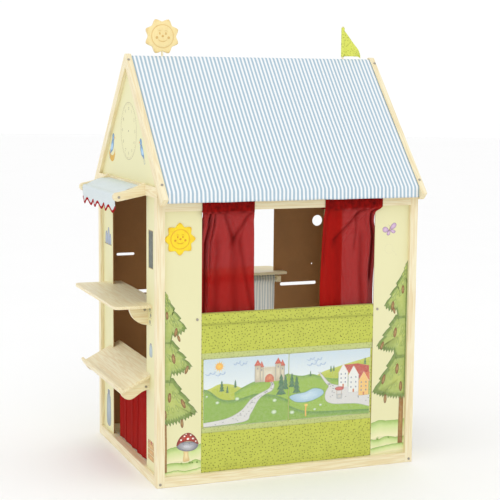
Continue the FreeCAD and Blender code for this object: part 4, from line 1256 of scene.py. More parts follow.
def butterfly(picture):
    wings = (((-3, 0), (-14, 10), (-25, 6), (-24, -6), (-12, -9)),
             ((-2, -2), (-10, -14), (-5, -20), (2, -16), (3, -4)),
             ((3, 2), (8, 16), (20, 24), (27, 16), (20, 5)),
             ((4, -1), (14, 0), (24, -6), (18, -13), (8, -9)))
    for wing in wings:
        outline = smooth_line(wing, 5, True)
        picture.blob(outline, (224, 196, 222), (184, 148, 190), 1.0)
        picture.line(outline, 0.9, (126, 92, 132), 1.4, True)
    for line, width in (([(-2, -6), (1, 1), (3, 8)], 2.6), ([(3, 8), (0, 15), (-3, 18)], 0.6),
                        ([(3, 8), (7, 15), (11, 18)], 0.6)):
        picture.line(smooth_line(line), width, (140, 104, 84), 1.8)
    trail = ring(0, -68, 16, 17, 26) + [(18 + 4 * step, -76 - 5 * step) for step in range(5)]
    for first in range(0, len(trail) - 1, 2):
        picture.line(trail[first:first + 2], 0.7, (204, 196, 170), 1.0)


def left_strip(picture):
    post = high("post_left_front").x / MM
    width = -STAGE_HALF / MM - 0.5 - post
    strip = picture.moved(post, 0)
    grass_band(strip, [(0, 122), (30, 132), (70, 134), (100, 128), (width, 138)], 50, 1, 0.2)
    grass_band(strip, [(0, 76), (40, 78), (80, 74), (110, 84), (width, 78)], 34, 2, 0.7)
    grass_band(strip, [(0, 46), (40, 52), (80, 47), (width, 55)], 11, 3, 1.2)
    tiers = [((0, 671), (14, 640), (0, 610)), ((14, 640), (80, 535), (26, 515)),
             ((30, 500), (100, 405), (24, 384)), ((32, 372), (118, 246), (0, 212))]
    cones = [(11, 584, 0.9, 4), (42, 526, 1.0, -8), (52, 505, 0.8, 20), (34, 437, 1.15, 10),
             (80, 396, 1.0, -20), (20, 305, 1.1, -2), (68, 281, 1.15, 22), (4, 246, 1.1, 0),
             (64, 213, 1.0, 4)]
    StripFir(strip, tiers, cones, (0, 11, 42, 215), 5).draw()
    mushroom(strip.moved(81, 82, 2.6))
    for across, height in ((62, 9), (92, 12), (101, 8), (118, 9)):
        tuft(strip, across, 72, height, 4.6)


def right_strip(picture):
    post = low("post_right_front").x / MM
    door = STAGE_HALF / MM + 0.5
    width = post - door
    strip = picture.moved(door, 0)
    grass_band(strip, [(0, 152), (35, 160), (70, 156), (width, 158)], 58, 4, 0.2)
    grass_band(strip, [(0, 92), (30, 90), (60, 99), (100, 93), (width, 95)], 36, 6, 0.7)
    grass_band(strip, [(0, 58), (40, 64), (80, 68), (width, 70)], 24, 7, 1.2)
    tuft(strip, 26, 90, 13, 1.8)
    tuft(strip, 70, 93, 8, 1.8)
    tiers = [((0, 733), (18, 690), (0, 660)), ((18, 690), (90, 573), (36, 556)),
             ((42, 540), (117, 430), (44, 412)), ((46, 400), (130, 264), (0, 240))]
    cones = [(17, 630, 1.0, 0), (56, 573, 1.1, 6), (50, 556, 0.8, -14), (44, 476, 1.2, 8),
             (95, 432, 1.0, 22), (33, 344, 1.25, 4), (86, 309, 1.2, 14), (78, 238, 1.1, 2),
             (17, 279, 1.2, 0)]
    StripFir(picture.moved(post, 0, facing=-1), tiers, cones, (5, 24, 66, 245), 8).draw()
    butterfly(picture.moved(376, 845))


# ---- picture cards -----------------------------------------------------------------
CARD_EDGE = 311.2
CARD_INNER = CARD_GAP / MM + 0.2
SKY_TOP = (202, 219, 230)
SKY_LOW = (232, 239, 240)
MEADOW = ((136, 176, 44), (88, 138, 50))
MIDDLE_HILL = ((150, 186, 48), (112, 158, 50))
SUNLIT_HILL = ((184, 196, 42), (200, 206, 78))
STONE = (222, 214, 200)
PEN = (98, 110, 146)
ROOF_RED = (192, 62, 42)
PLASTER = (236, 236, 232)


def sky(picture, left, right, horizon):
    picture.wash([(left, 233.5), (right, 233.5)], 233.5 - horizon, SKY_TOP, SKY_LOW)
    picture.wash([(left, horizon), (right, horizon)], horizon - 0.5, SKY_LOW, SKY_LOW)


def hill(picture, line, tints, layer):
    """Ground below a line: shaded along its ridge."""
    ridge = smooth_line(line, 8)
    picture.wash(ridge, 16, tints[1], tints[0], layer + 0.35)
    picture.fill(ridge + [(ridge[-1].x, 0.5), (ridge[0].x, 0.5)], tints[0], layer)


def card_fir(picture, height):
    picture.fill(oblong(-0.9, -2, 0.9, 4), (120, 96, 60))
    for tier in range(4):
        share = tier / 4
        base = height * share
        top = height * min(1.0, share + 0.40)
        spread = height * 0.26 * (1 - share * 0.78)
        outline = [(-spread, base), (-spread * 0.45, base + 0.8), (0, base - 1.0),
                   (spread * 0.5, base + 0.8), (spread, base), (0, top)]
        picture.blob(outline, (66, 128, 76), (40, 96, 62), 0.06 * (tier + 1))


def squiggle(picture, width):
    """Cloud drawn as a few curls."""
    curl = [(-width * 0.12, 0), (-width * 0.04, -4.5), (width * 0.07, -5.0), (width * 0.15, 0.5),
            (width * 0.10, 3.0)]
    for index in range(4):
        part = picture.moved(width * (index / 3.6 - 0.42), 4.0 * math.sin(index * 2.1))
        part.line(smooth_line(curl), 1.6, (120, 156, 206))
        part.moved(2, 3.6).line(smooth_line(curl[1:4]), 1.0, (156, 186, 220))


def card_sun(picture):
    for ray in range(12):
        out = Vector((math.cos(TURN * ray / 12), math.sin(TURN * ray / 12)))
        side = Vector((-out.y, out.x)) * 2.2
        picture.fill([out * 9 - side, out * 9 + side, out * 22], (244, 204, 60), 1.4)
    picture.blob(ring(0, 0, 13, 12, 20), (250, 208, 70), (242, 166, 46), 1.8)


def tower(picture, x0, x1, base, top, layer):
    """Round tower with a cone roof and a small window."""
    middle = (x0 + x1) / 2
    picture.blob(oblong(x0, base, x1, top), (228, 218, 192), (190, 176, 148), layer)
    picture.line([(x0, base), (x0, top), (x1, top), (x1, base)], 0.8, PEN, layer + 0.3)
    picture.blob([(x0 - 3, top), (x1 + 3, top), (middle, top + 22)], (224, 104, 72), ROOF_RED, layer + 0.4)
    picture.fill(oblong(middle - 1.4, top - 13, middle + 1.4, top - 7), PEN, layer + 0.5)


def castle(picture):
    """Small castle: a gate wall between two pairs of towers."""
    picture.blob(oblong(-26, 0, 26, 50), (232, 226, 206), (206, 194, 168))
    for notch in range(7):
        x = notch * 6.6 - 20
        picture.fill(oblong(x, 50, x + 3.6, 54), STONE)
    for place in ((-31, -19, 0, 52, 0.5), (-50, -29, 0, 58, 1.1), (44, 60, 2, 52, 0.5),
                  (26, 46, 0, 60, 1.1)):
        tower(picture, *place)
    gate = [(-12, -2), (20, -2), (20, 14), (14, 23), (4, 27), (-6, 23), (-12, 14)]
    picture.blob(gate, (232, 140, 84), (202, 88, 56), 1.3)
    for plank in range(4):
        x = plank * 6.2 - 5
        picture.line([(x, -1), (x, 20)], 0.6, (164, 70, 50), 1.7)


def stone_path(picture, left_edge, right_edge, layer, seed, stones):
    left = smooth_line(left_edge, 8)
    right = smooth_line(right_edge, 8)
    picture.fill(left + right[::-1], (220, 218, 216), layer)
    for edge in (left, right):
        picture.line(edge, 1.3, (160, 160, 150), layer + 0.3)
    rng = random.Random(seed)
    for stone in range(stones):
        index = rng.randrange(2, min(len(left), len(right)) - 2)
        spot = left[index].lerp(right[index], rng.uniform(0.2, 0.8))
        picture.fill(ring(spot.x, spot.y, 2.3, 1.3, 8), (120, 118, 124), layer + 0.35)


def bush(picture, across, up, size):
    outline = ring(across, up, size * 1.15, size * 0.85, 14)
    picture.blob(outline, (238, 246, 226), (168, 198, 146), 4.2)
    picture.line(outline[9:16], 0.7, (110, 140, 90), 4.5)


def left_card(picture):
    """Castle on a hill with a winding path."""
    sky(picture, -CARD_EDGE, -CARD_INNER, 123.5)
    card_sun(picture.moved(-255, 207))
    squiggle(picture.moved(-270, 184, 2.2), 64)
    squiggle(picture.moved(-180, 214, 1.4), 44)
    hill(picture, [(-CARD_EDGE, 126), (-285, 134), (-253, 146), (-208, 141), (-170, 126), (-120, 112),
                   (-CARD_INNER, 100)], SUNLIT_HILL, 0.5)
    hill(picture, [(-200, 112), (-172, 128), (-126, 146), (-90, 148), (-32, 157), (-CARD_INNER, 165)],
         MIDDLE_HILL, 1.2)
    hill(picture, [(-CARD_EDGE, 132), (-290, 124), (-256, 98), (-225, 88), (-180, 90), (-126, 102),
                   (-100, 100), (-50, 92), (-CARD_INNER, 72)], MEADOW, 2.0)
    castle(picture.moved(-76, 142, 2.6))
    stone_path(picture, [(-80, 147), (-66, 133), (-76, 116), (-108, 102), (-140, 84), (-176, 48), (-230, 24),
                         (-CARD_EDGE, 15)],
               [(-64, 147), (-54, 128), (-62, 110), (-88, 98), (-112, 80), (-140, 34), (-166, 8),
                (-CARD_EDGE, 1)], 2.9, 11, 46)
    for across, foot, height in ((-246, 120, 38), (-226, 114, 24), (-197, 130, 27), (-28, 92, 74),
                                 (-12, 110, 50)):
        card_fir(picture.moved(across, foot, 4.4), height)
    for place in ((-262, 82, 6), (-190, 90, 7), (-52, 74, 7), (-54, 33, 9), (-300, 106, 4)):
        bush(picture, *place)


def house(picture, x0, x1, base, eave, apex, wall, layer):
    """Town house with a gable to the street, windows and a door."""
    middle = (x0 + x1) / 2
    picture.fill([(x0, base), (x1, base), (x1, eave), (middle, apex), (x0, eave)], wall, layer)
    verge = [(x0 - 2, eave - 3), (middle, apex + 1), (x1 + 2, eave - 3)]
    picture.line(verge, 1.8, (236, 196, 176), layer + 0.2)
    picture.line([(x0, eave), (x0, base), (x1, base), (x1, eave)], 0.7, PEN, layer + 0.2)
    rows = 3 if eave - base > 40 else 2
    for row in range(rows):
        z = base + 16 + row * (eave - base - 10) / rows
        for share in (0.27, 0.73):
            x = x0 + (x1 - x0) * share
            picture.fill(oblong(x - 1.9, z, x + 1.9, z + 5.5), PEN, layer + 0.25)
    door = [(middle - 3, base), (middle + 3, base), (middle + 3, base + 11), (middle, base + 13),
            (middle - 3, base + 11)]
    picture.fill(door, (206, 120, 70), layer + 0.3)


def well(picture):
    roof = ring(194, 97, 17, 7, 18)
    picture.blob([(184, 60), (204, 60), (206, 78), (182, 78)], STONE, (170, 174, 180), 4.4)
    for x in (184, 203):
        picture.line([(x, 76), (x, 96)], 1.4, (170, 120, 80), 4.7)
    picture.blob(roof, (222, 116, 104), (190, 70, 66), 5.0)
    picture.line(roof, 0.8, (150, 56, 56), 5.3, True)


def right_card(picture):
    """Pond, square with a well, and a row of town houses."""
    sky(picture, CARD_INNER, CARD_EDGE, 143.5)
    squiggle(picture.moved(96, 210, 1.4), 50)
    squiggle(picture.moved(104, 192, 1.4), 62)
    hill(picture, [(90, 140), (125, 160), (170, 172), (230, 186), (CARD_EDGE, 203)], SUNLIT_HILL, 0.5)
    hill(picture, [(CARD_INNER, 163), (48, 153), (90, 156), (140, 140), (200, 134), (CARD_EDGE, 140)],
         MIDDLE_HILL, 1.2)
    hill(picture, [(CARD_INNER, 52), (40, 34), (80, 24), (140, 20), (200, 18), (CARD_EDGE, 14)], MEADOW, 1.8)
    stone_path(picture, [(112, 162), (126, 140), (142, 118), (152, 108), (140, 86), (142, 58), (170, 44),
                         (230, 40), (270, 36), (CARD_EDGE, 24)],
               [(118, 162), (138, 138), (156, 120), (176, 112), (200, 108), (230, 100), (262, 92), (290, 80),
                (300, 72), (CARD_EDGE, 66)], 2.4, 13, 26)
    pond = smooth_line([(CARD_INNER + 1, 80), (22, 90), (60, 94), (96, 106), (128, 98), (132, 82), (104, 66),
                        (66, 58), (26, 62)], 6, True)
    picture.blob(pond, (208, 228, 240), (158, 194, 216), 2.4)
    picture.line(pond, 2.0, (104, 150, 74), 2.8, True)
    for across, up in ((50, 80), (84, 90), (100, 80), (66, 70)):
        picture.line(smooth_line([(across - 7, up), (across, up + 1.6), (across + 7, up)]), 0.7,
                     (240, 248, 252), 2.9)
    picture.fill([(206, 180), (264, 182), (308, 172), (308, 128), (246, 128)], ROOF_RED, 2.9)
    house(picture, 190, 226, 100, 154, 184, PLASTER, 3.2)
    house(picture, 228, 268, 80, 142, 174, PLASTER, 3.8)
    picture.fill([(266, 118), (284, 146), (CARD_EDGE, 150), (CARD_EDGE, 116)], (214, 110, 60), 3.6)
    house(picture, 268, 308, 66, 118, 150, (242, 196, 110), 4.4)
    well(picture)
    for across, foot, height in ((12, 116, 50), (30, 94, 60), (82, 150, 19), (160, 160, 22), (171, 162, 20),
                                 (292, 178, 24)):
        card_fir(picture.moved(across, foot, 5.0), height)
    for place in ((14, 26, 8), (100, 30, 5), (122, 44, 5)):
        bush(picture, *place)
    picture.line(smooth_line([(66, 8), (65, 28), (67, 46)]), 5.0, (240, 184, 76), 4.4)
    picture.fill(ring(67, 48, 7, 4.5, 12), (246, 206, 96), 4.8)


def picture_card(name, side):
    """Thin card that reaches from the middle of the apron to the end of the pockets."""
    bottom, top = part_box("picture_cards")
    flat = (top.x - CARD_GAP, top.z - bottom.z)
    rounded_share = 0.03

    def spot(u, v):
        near_side = max(0.0, rounded_share - min(u, 1 - u))
        tuck = near_side * max(0.0, rounded_share - min(v, 1 - v)) / rounded_share
        z = bottom.z + flat[1] * (v + (0.5 - v) * tuck)
        return (side * (CARD_GAP + flat[0] * u), (bottom.y + top.y) / 2, z)

    back = mottled("card_back", 0.6, 700.0, 2.0, (0.80, 0.82, 0.74), (0.88, 0.89, 0.82))
    piece = cloth_piece(name, "house", back, top.y - bottom.y, 30, 30, spot, flat)
    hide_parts("picture_cards")


# ---- prints on the shop end --------------------------------------------------------
def clock_dial(picture, radius):
    """Dial with its ring and numbers. It has no hands."""
    picture.line(ring(0, 0, radius, radius, 72), 1.3, (150, 136, 100), 1.0, True)
    picture.line(ring(0, 0, radius - 5, radius - 5, 72), 0.6, (180, 166, 128), 1.0, True)
    picture.fill(ring(0, 0, 3.2, 3.2, 10), (120, 104, 76), 1.2)
    for minute in range(60):
        reach = 9.5 if minute % 5 == 0 else 7.0
        way = Vector((math.sin(TURN * minute / 60), math.cos(TURN * minute / 60)))
        picture.line([way * (radius - 5), way * (radius - reach)], 0.9, (150, 136, 100), 1.2)
    for hour in range(1, 13):
        way = Vector((math.sin(TURN * hour / 12), math.cos(TURN * hour / 12)))
        write_number(picture, str(hour), way * (radius - 22), 15)


def write_number(picture, text, spot, size):
    """Add a number from Blender's own plain font."""
    font = bpy.data.curves.new("number", "FONT")
    font.body = text
    font.size = size
    font.align_x = "CENTER"
    font.align_y = "CENTER"
    font.resolution_u = 3
    holder = bpy.data.objects.new("number", font)
    bpy.context.scene.collection.objects.link(holder)
    mesh = bpy.data.meshes.new_from_object(holder)
    first = len(picture.places)
    for place in picture.placed([vertex.co.xy + spot for vertex in mesh.vertices]):
        picture.point(place, 1.2, colour(124, 108, 78))
    for face in mesh.polygons:
        picture.faces.append([first + index for index in face.vertices])
    bpy.data.objects.remove(holder)
    bpy.data.curves.remove(font)
    bpy.data.meshes.remove(mesh)


def bird(picture, size):
    """Small blue bird seen from the side."""
    blue = (132, 192, 238)
    deep = (78, 116, 166)
    body = [(-16, -20), (-12, -6), (-2, 8), (6, 16), (14, 14), (15, 2), (8, -10), (-4, -16)]
    shapes = ((body, blue, deep, 1.0),
              ([(3, 20), (10, 27), (19, 24), (20, 14), (12, 9), (4, 12)], blue, deep, 1.3),
              ([(-12, -8), (-4, 2), (8, 4), (6, -8), (-4, -12)], (196, 218, 240), blue, 1.5))
    for outline, tint, edge, layer in shapes:
        picture.blob(smooth_line(outline, 5, True), tint, edge, layer)
    picture.fill(smooth_line([(19, 20), (27, 17), (19, 15)], 5, True), (240, 176, 60), 1.7)
    picture.fill(ring(14, 19, 2.2 / size, 2.2 / size, 10), (40, 50, 70), 1.9)
    picture.line(smooth_line([(-14, -18), (-24, -28), (-18, -31), (-8, -17)]), 1.6, deep, 1.2)


def crescent(picture):
    """Moon that lies on its back."""
    turns = [math.radians(turn) for turn in range(190, 371, 10)]
    outer = [(26 * math.cos(angle), 24 * math.sin(angle)) for angle in turns]
    inner = [(23 * math.cos(angle), 5 + 15 * math.sin(angle)) for angle in reversed(turns)]
    picture.fill(outer + inner, (214, 164, 26), 0.6)


def jar(picture, width, height, body_tint, lid_tint):
    half = width / 2
    shoulder = height * 0.86
    body = smooth_line([(-half, 0), (half, 0), (half, height * 0.7), (half * 0.55, shoulder),
                        (-half * 0.55, shoulder), (-half, height * 0.7)], 4, True)
    picture.blob(body, body_tint, 0.7, 1.2)
    picture.line(body, 0.8, PEN, 1.5, True)
    picture.fill(oblong(-half * 0.6, shoulder, half * 0.6, height), lid_tint, 1.6)


def gable_print(picture):
    """Dial, and a bird on each side of it, one on a moon."""
    clock_dial(picture.moved(0, 1181), 100)
    crescent(picture.moved(-222, 1100, size=1.6))
    bird(picture.moved(-222, 1122, size=1.6), 1.6)
    bird(picture.moved(168, 1122, size=1.45, facing=-1), 1.45)


def shop_front_print(picture):
    """Slate, hooks with round goods, a crate of apples and a jar."""
    strip = picture.moved(268, 0)
    strip.fill(oblong(-27, 729, 27, 860), (196, 170, 112), 0.8)
    strip.blob(oblong(-24.5, 731.5, 24.5, 857.5), (98, 104, 100), (78, 84, 80), 1.2)
    for index, up in enumerate((590, 570, 546)):
        strip.fill(ring(9 * (index % 2) - 10, up, 6, 7, 12), (110, 116, 124), 1.0)
        strip.line([(-20, up - 9), (8, up - 9)], 1.2, (150, 146, 120), 1.0)
    for row in range(3):
        strip.blob(oblong(-34, 66 + 20 * row, 34, 84 + 20 * row), (226, 184, 120), (190, 140, 84), 1.4)
    for index, tint in enumerate(((206, 70, 50), (222, 150, 60), (196, 60, 48), (224, 160, 70))):
        strip.blob(ring(16.32 * index - 24.48, 129, 7, 7, 14), tint, 0.6, 1.0 + 0.1 * index)
    jar(strip.moved(0, 430), 30, 44, (186, 204, 214), (150, 150, 160))


def shop_rear_print(picture):
    """Jars on a shelf and a large jar on the floor."""
    shelf = 752
    picture.fill(oblong(-332, shelf - 6, -236, shelf), (170, 154, 104), 1.0)
    for across, width, height in ((-306, 28, 44), (-276, 24, 60), (-252, 20, 38)):
        jar(picture.moved(across, shelf), width, height, (176, 190, 214), (140, 150, 176))
    jar(picture.moved(-284, 60), 52, 130, (170, 186, 200), (130, 140, 156))


def print_all(slot, *prints):
    for name, on_face, draw in prints:
        picture = Print(name, on_face)
        draw(picture)
        picture.make(slot)


# ---- suns --------------------------------------------------------------------------
def dome(places, faces, centre, radius, rise, stretch=1.0):
    """Adds a low dome that faces the front."""
    first = len(places)
    rings = 4
    steps = 14
    for level in range(rings):
        reach = radius * math.cos(math.pi / 2 * level / rings)
        y = centre.y - rise * math.sin(math.pi / 2 * level / rings)
        for step in range(steps):
            turn = TURN * step / steps
            z = centre.z + reach * stretch * math.sin(turn)
            places.append((centre.x + reach * math.cos(turn), y, z))
    places.append((centre.x, centre.y - rise, centre.z))
    faces += tube_faces(steps, rings - 1, first)
    last = first + (rings - 1) * steps
    faces += [(last + step, last + (step + 1) % steps, last + steps) for step in range(steps)]
    faces.append(tuple(first + step for step in reversed(range(steps))))


def raised_arc(places, faces, centre, radius, start, end, width, rise, steps):
    """Adds a raised rounded line, thin at its ends, along an arc that faces the front."""
    first = len(places)
    around = 6
    for step in range(steps + 1):
        angle = math.radians(start + (end - start) * step / steps)
        taper = 0.35 + 0.65 * math.sin(math.pi * step / steps)
        for turn in range(around):
            bend = TURN * turn / around
            reach = radius + width / 2 * math.cos(bend) * taper
            y = centre.y - rise * max(-0.3, math.sin(bend)) * taper
            places.append((centre.x + reach * math.cos(angle), y, centre.z + reach * math.sin(angle)))
    faces += [face[::-1] for face in tube_faces(around, steps, first)]
    faces.append(tuple(first + turn for turn in range(around)))
    faces.append(tuple(len(places) - around + turn for turn in reversed(range(around))))


def sun_features(name, centre, radius, body, finish):
    """Simple carved smile, eyes, brows, cheeks and nose on a sun's face."""
    places = []
    faces = []

    def at(across, up):
        return centre + Vector((across * radius, 0.0, up * radius))

    raised_arc(places, faces, at(0, 0.10), radius * 0.56, 222, 318, 2.2 * MM, 1.0 * MM, 24)
    for side in (-1, 1):
        dome(places, faces, at(side * 0.28, 0.24), radius * 0.08, 1.2 * MM, 1.4)
        raised_arc(places, faces, at(side * 0.28, 0.22), radius * 0.26, 55, 125, 1.4 * MM, 0.7 * MM, 10)
        dome(places, faces, at(side * 0.54, -0.12), radius * 0.12, 0.9 * MM)
    dome(places, faces, at(0, 0.02), radius * 0.11, 2.0 * MM)
    add_piece(name, rounded(new_mesh(name, places, faces)), finish, body)


def carved_sun(node, body, first_ray, face_radius, finish):
    """Sun with eight pointed rays, a round groove, hollows between the rays and a raised face."""
    bottom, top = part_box(node)
    middle = (bottom + top) / 2
    outer = (top.z - bottom.z) / 2
    rays = 8
    around = rays * 16
    turns = [TURN * step / around for step in range(around)]
    rays_front = bottom.y + min(3 * MM, 0.25 * (top.y - bottom.y))
    inner = face_radius + 2.6 * MM
    places = []

    def put(reach, y, angle):
        places.append((middle.x + reach * math.cos(angle), y, middle.z + reach * math.sin(angle)))

    for share, sunk in ((0.0, 0.0), (0.4, 0.03), (0.75, 0.10), (0.90, 0.22), (0.97, 0.5), (1.0, 1.0)):
        for angle in turns:
            put(face_radius * share, bottom.y + (rays_front + 0.8 * MM - bottom.y) * sunk, angle)
    for share in (0.0, 0.12, 0.30, 0.50, 0.70, 0.84, 0.93, 0.98, 1.0):
        rounding = (top.y - rays_front) * 0.40 * max(0.0, (share - 0.8) / 0.2) ** 2
        for step, angle in enumerate(turns):
            to_tip = abs(2 * (rays * step / around % 1.0) - 1)
            ray = 0.5 * to_tip ** 1.3 + 0.25 - 0.25 * math.cos(math.pi * to_tip)
            rim = outer - 12 * MM * (1 - ray)
            hollow = 1.4 * MM * (1 - ray) ** 2 * share
            put(inner + (rim - inner) * share, rays_front + hollow + rounding, angle + first_ray)
    places.extend([(x, top.y, z) for x, _, z in places[-around:]])
    back = tuple(range(len(places) - around, len(places)))
    mesh = new_mesh(node + "_carved", places, tube_faces(around, len(places) // around - 1) + [back])
    shape = bmesh.new()
    shape.from_mesh(mesh)
    bmesh.ops.remove_doubles(shape, verts=shape.verts[:], dist=1e-6)
    bmesh.ops.recalc_face_normals(shape, faces=shape.faces[:])
    shape.to_mesh(mesh)
    shape.free()
    piece = add_piece(node + "_carved", rounded(mesh), finish, body)
    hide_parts(node)


def sun(node, body, tint, deep, first_ray, face_radius):
    bottom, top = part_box(node)
    middle = (bottom + top) / 2
    rim_radius = (top.z - bottom.z) / 2
    stain = carved_stain(node + "_stain", tint, deep, middle, face_radius, rim_radius)
    carved_sun(node, body, first_ray, face_radius, stain)
    front = Vector((middle.x, bottom.y, middle.z))
    sun_features(node + "_face", front, face_radius, body, carved_lines(node + "_lines", deep))


# ---- studio ------------------------------------------------------------------------
def lay_floor():
    """Round floor that is far wider than the view."""
    rim = [(*spot, -0.5 * MM) for spot in ring(0, 0, 30.0, 30.0, 64)]
    mesh = new_mesh("floor", rim, [tuple(range(64))])
    floor = bpy.data.objects.new("floor", mesh)
    bpy.context.scene.collection.objects.link(floor)
    mesh.materials.append(floor_paint("floor_paint"))
    floor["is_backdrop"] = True


def soft_light(name, place, size, power, tint):
    lamp = bpy.data.lights.new(name, "AREA")
    lamp.shape = "SQUARE"
    lamp.size = size
    lamp.energy = power
    lamp.color = tint
    holder = bpy.data.objects.new(name, lamp)
    bpy.context.scene.collection.objects.link(holder)
    holder.location = place
    holder.rotation_euler = (Vector((0.0, 0.0, 0.8)) - Vector(place)).to_track_quat("-Z", "Y").to_euler()


def light_studio(scene, studio):
    world = bpy.data.worlds.new("studio")
    world.use_nodes = True
    world.node_tree.nodes["Background"].inputs["Color"].default_value = (1.0, 1.0, 1.0, 1.0)
    world.node_tree.nodes["Background"].inputs["Strength"].default_value = studio.surround
    scene.world = world
    scene.view_settings.view_transform = "Standard"
    soft_light("key", (-1.2, -4.4, 4.0), 2.6, studio.key_power, (1.0, 0.98, 0.95))
    soft_light("fill", (-4.6, -1.0, 2.2), 2.2, studio.fill_power, (1.0, 1.0, 1.0))


def aim_camera(scene, studio):
    lens = bpy.data.cameras.new("camera")
    lens.lens = studio.lens
    lens.sensor_width = 36.0
    lens.clip_end = 100.0
    camera = bpy.data.objects.new("camera", lens)
    scene.collection.objects.link(camera)
    camera.location = studio.place
    turned = Euler((math.pi / 2 - studio.pitch, 0.0, -studio.yaw)).to_matrix()
    rolled = Euler((0.0, 0.0, studio.roll)).to_matrix()
    camera.rotation_euler = (turned @ rolled).to_euler()
    scene.camera = camera


# ---- operators ---------------------------------------------------------------------
class PLAYHOUSE_OT_frame(bpy.types.Operator):
    """Give the timber, panels and screws their finishes"""
    bl_idname = "playhouse.frame"
    bl_label = "Finish the frame"

    def execute(self, context):
        colours = context.scene.play_house_colours
        finish_timber(colours)
        finish_panels(colours)
        steel = mottled("screw_steel", 0.38, 420.0, 3.0, (0.30, 0.27, 0.22), (0.48, 0.45, 0.40),
                        Metallic=0.9)
        for node in ("frame_screws", "small_screws"):
            dress(node, steel)
        return {"FINISHED"}


class PLAYHOUSE_OT_roof(bpy.types.Operator):
    """Stretch the striped cloth over the ridge and the eaves"""
    bl_idname = "playhouse.roof"
    bl_label = "Roof cloth"

    def execute(self, context):
        sizes = context.scene.play_house_cloth
        colours = context.scene.play_house_colours
        stripes = striped_cloth("roof_stripes", sizes.roof_stripe, colours.stripe_white,
                                colours.stripe_blue, 0.0)
        roof_cloth(sizes, stripes)
        return {"FINISHED"}


class PLAYHOUSE_OT_awning(bpy.types.Operator):
    """Hang the awning with its pointed valance and red tape"""
    bl_idname = "playhouse.awning"
    bl_label = "Awning"

    def execute(self, context):
        white = plain_cloth("awning_cotton", colour(234, 241, 242), colour(206, 222, 230), 0.2, 1.0)
        tape = plain_cloth("red_tape", colour(168, 10, 16), colour(130, 6, 10), 0.0, 1.0)
        awning(context.scene.play_house_cloth, white, tape)
        return {"FINISHED"}


class PLAYHOUSE_OT_curtains(bpy.types.Operator):
    """Hang the two stage curtains, the shop curtain and the rear curtain"""
    bl_idname = "playhouse.curtains"
    bl_label = "Curtains"

    def execute(self, context):
        sizes = context.scene.play_house_cloth
        red = plain_cloth("red_cotton", context.scene.play_house_colours.red, colour(150, 6, 4), 0.12, 0.80)
        stripes = striped_cloth("rear_stripes", sizes.rear_stripe, colour(250, 250, 246),
                                colour(150, 172, 190), 0.55)
        stage_curtain("curtain_left", "curtain_left_body", sizes, LEFT_FOLDS, red, -1, 24 * MM)
        stage_curtain("curtain_right", "curtain_right_body", sizes, RIGHT_FOLDS, red, 1, -6 * MM)
        rod_curtain("shop_curtain", "shop_curtain_body", sizes, red, "red_cloth", 4, 21, 1.25, 1.0, 4 * MM,
                    high("bottom_rail_left").z + 2 * MM)
        rod_curtain("rear_curtain", "house", sizes, stripes, "striped_cloth", 7, 27, 1.30, 0.32, 11 * MM,
                    low("rear_curtain").z)
        return {"FINISHED"}


class PLAYHOUSE_OT_apron(bpy.types.Operator):
    """Hang the lime apron with its ribbons and clear pockets"""
    bl_idname = "playhouse.apron"
    bl_label = "Stage apron"

    def execute(self, context):
        sizes = context.scene.play_house_cloth
        colours = context.scene.play_house_colours
        pitch = sizes.dot_pitch
        piece, flat = apron(sizes, dotted_cloth("lime_dots", pitch, colours.lime, colours.lime_dot))
        ribbons = bindings(dotted_cloth("pale_dots", pitch, colour(196, 204, 132), colour(152, 160, 84)))
        declare(piece, "stage_apron", "apron_cloth", flat, "hung", ["stage_rail"], with_pieces=[ribbons])
        dress("picture_pockets", clear_film("clear_film"))
        return {"FINISHED"}


class PLAYHOUSE_OT_cards(bpy.types.Operator):
    """Make and print the two picture cards behind the clear pockets"""
    bl_idname = "playhouse.cards"
    bl_label = "Picture cards"

    def execute(self, context):
        picture_card("picture_card_left", -1)
        picture_card("picture_card_right", 1)
        print_all("card", ("card_print_left", on_card, left_card), ("card_print_right", on_card, right_card))
        return {"FINISHED"}


class PLAYHOUSE_OT_strip_prints(bpy.types.Operator):
    """Print the firs, the mushroom, the hills and the butterfly on the front strips"""
    bl_idname = "playhouse.strip_prints"
    bl_label = "Prints on the front strips"

    def execute(self, context):
        print_all("panel", ("print_front_left", on_front, left_strip),
                  ("print_front_right", on_front, right_strip))
        return {"FINISHED"}


class PLAYHOUSE_OT_shop_prints(bpy.types.Operator):
    """Print the dial, the birds, the slate and the shop goods on the shop end"""
    bl_idname = "playhouse.shop_prints"
    bl_label = "Prints on the shop end"

    def execute(self, context):
        print_all("panel", ("print_gable", on_left, gable_print),
                  ("print_shop_front", on_left, shop_front_print),
                  ("print_shop_rear", on_left, shop_rear_print))
        return {"FINISHED"}


class PLAYHOUSE_OT_suns(bpy.types.Operator):
    """Carve the sun on the ridge and the sun on the front strip, each with a plain smiling face"""
    bl_idname = "playhouse.suns"
    bl_label = "Suns"

    def execute(self, context):
        colours = context.scene.play_house_colours
        sun("roof_sun", "sun_body", colours.sun_pale, colour(222, 184, 110), TURN * 5 / 16, 40 * MM)
        sun("strip_sun", "house", colours.sun_yellow, colour(226, 156, 6), TURN / 4, 32 * MM)
        return {"FINISHED"}


class PLAYHOUSE_OT_pennant(bpy.types.Operator):
    """Put the pennant on its stick"""
    bl_idname = "playhouse.pennant"
    bl_label = "Pennant"

    def execute(self, context):
        pitch = context.scene.play_house_cloth.dot_pitch
        # the flag's lime cloth in a lighter copy: painted light that stands in for the light coming through
        # it
        pennant(dotted_cloth("pennant_dots", pitch, colour(220, 226, 100), colour(122, 126, 40)))
        return {"FINISHED"}


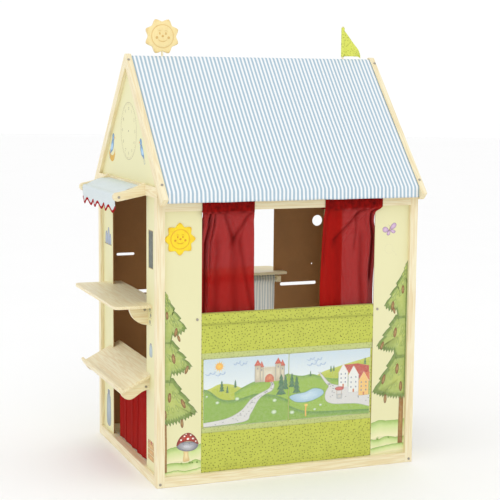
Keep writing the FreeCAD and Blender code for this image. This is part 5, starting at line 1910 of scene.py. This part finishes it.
class PLAYHOUSE_OT_stage(bpy.types.Operator):
    """Lay the pale floor and set up the camera and the soft lights"""
    bl_idname = "playhouse.stage"
    bl_label = "Studio"

    def execute(self, context):
        studio = context.scene.play_house_studio
        lay_floor()
        light_studio(context.scene, studio)
        aim_camera(context.scene, studio)
        return {"FINISHED"}


class PLAYHOUSE_PT_panel(bpy.types.Panel):
    """Steps and sizes of the play house"""
    bl_label = "Play house"
    bl_space_type = "VIEW_3D"
    bl_region_type = "UI"
    bl_category = "Play house"

    def draw(self, context):
        layout = self.layout
        for operator in OPERATORS:
            layout.operator(operator.bl_idname)
        for name in SETTINGS:
            settings = getattr(context.scene, name)
            box = layout.box()
            for setting in settings.__annotations__:
                box.prop(settings, setting)


OPERATORS = (PLAYHOUSE_OT_frame, PLAYHOUSE_OT_roof, PLAYHOUSE_OT_awning, PLAYHOUSE_OT_curtains,
             PLAYHOUSE_OT_apron, PLAYHOUSE_OT_cards, PLAYHOUSE_OT_strip_prints, PLAYHOUSE_OT_shop_prints,
             PLAYHOUSE_OT_suns, PLAYHOUSE_OT_pennant, PLAYHOUSE_OT_stage)
SETTINGS = {"play_house_cloth": PlayHouseCloth, "play_house_colours": PlayHouseColours,
            "play_house_studio": PlayHouseStudio}


def register():
    for kind in (*SETTINGS.values(), *OPERATORS, PLAYHOUSE_PT_panel):
        bpy.utils.register_class(kind)
    for name, kind in SETTINGS.items():
        setattr(bpy.types.Scene, name, PointerProperty(type=kind))


def unregister():
    for name in SETTINGS:
        delattr(bpy.types.Scene, name)
    for kind in reversed((*SETTINGS.values(), *OPERATORS, PLAYHOUSE_PT_panel)):
        bpy.utils.unregister_class(kind)


def corners(bounds):
    return [list(corner) for corner in bounds]


def main():
    cad_box = corners(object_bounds())
    register()
    bpy.ops.playhouse.frame()
    bpy.ops.playhouse.roof()
    bpy.ops.playhouse.awning()
    bpy.ops.playhouse.curtains()
    bpy.ops.playhouse.apron()
    bpy.ops.playhouse.cards()
    bpy.ops.playhouse.strip_prints()
    bpy.ops.playhouse.shop_prints()
    bpy.ops.playhouse.suns()
    bpy.ops.playhouse.pennant()
    bpy.ops.playhouse.stage()
    visual_box = corners(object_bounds())


if __name__ == "__main__":
    main()
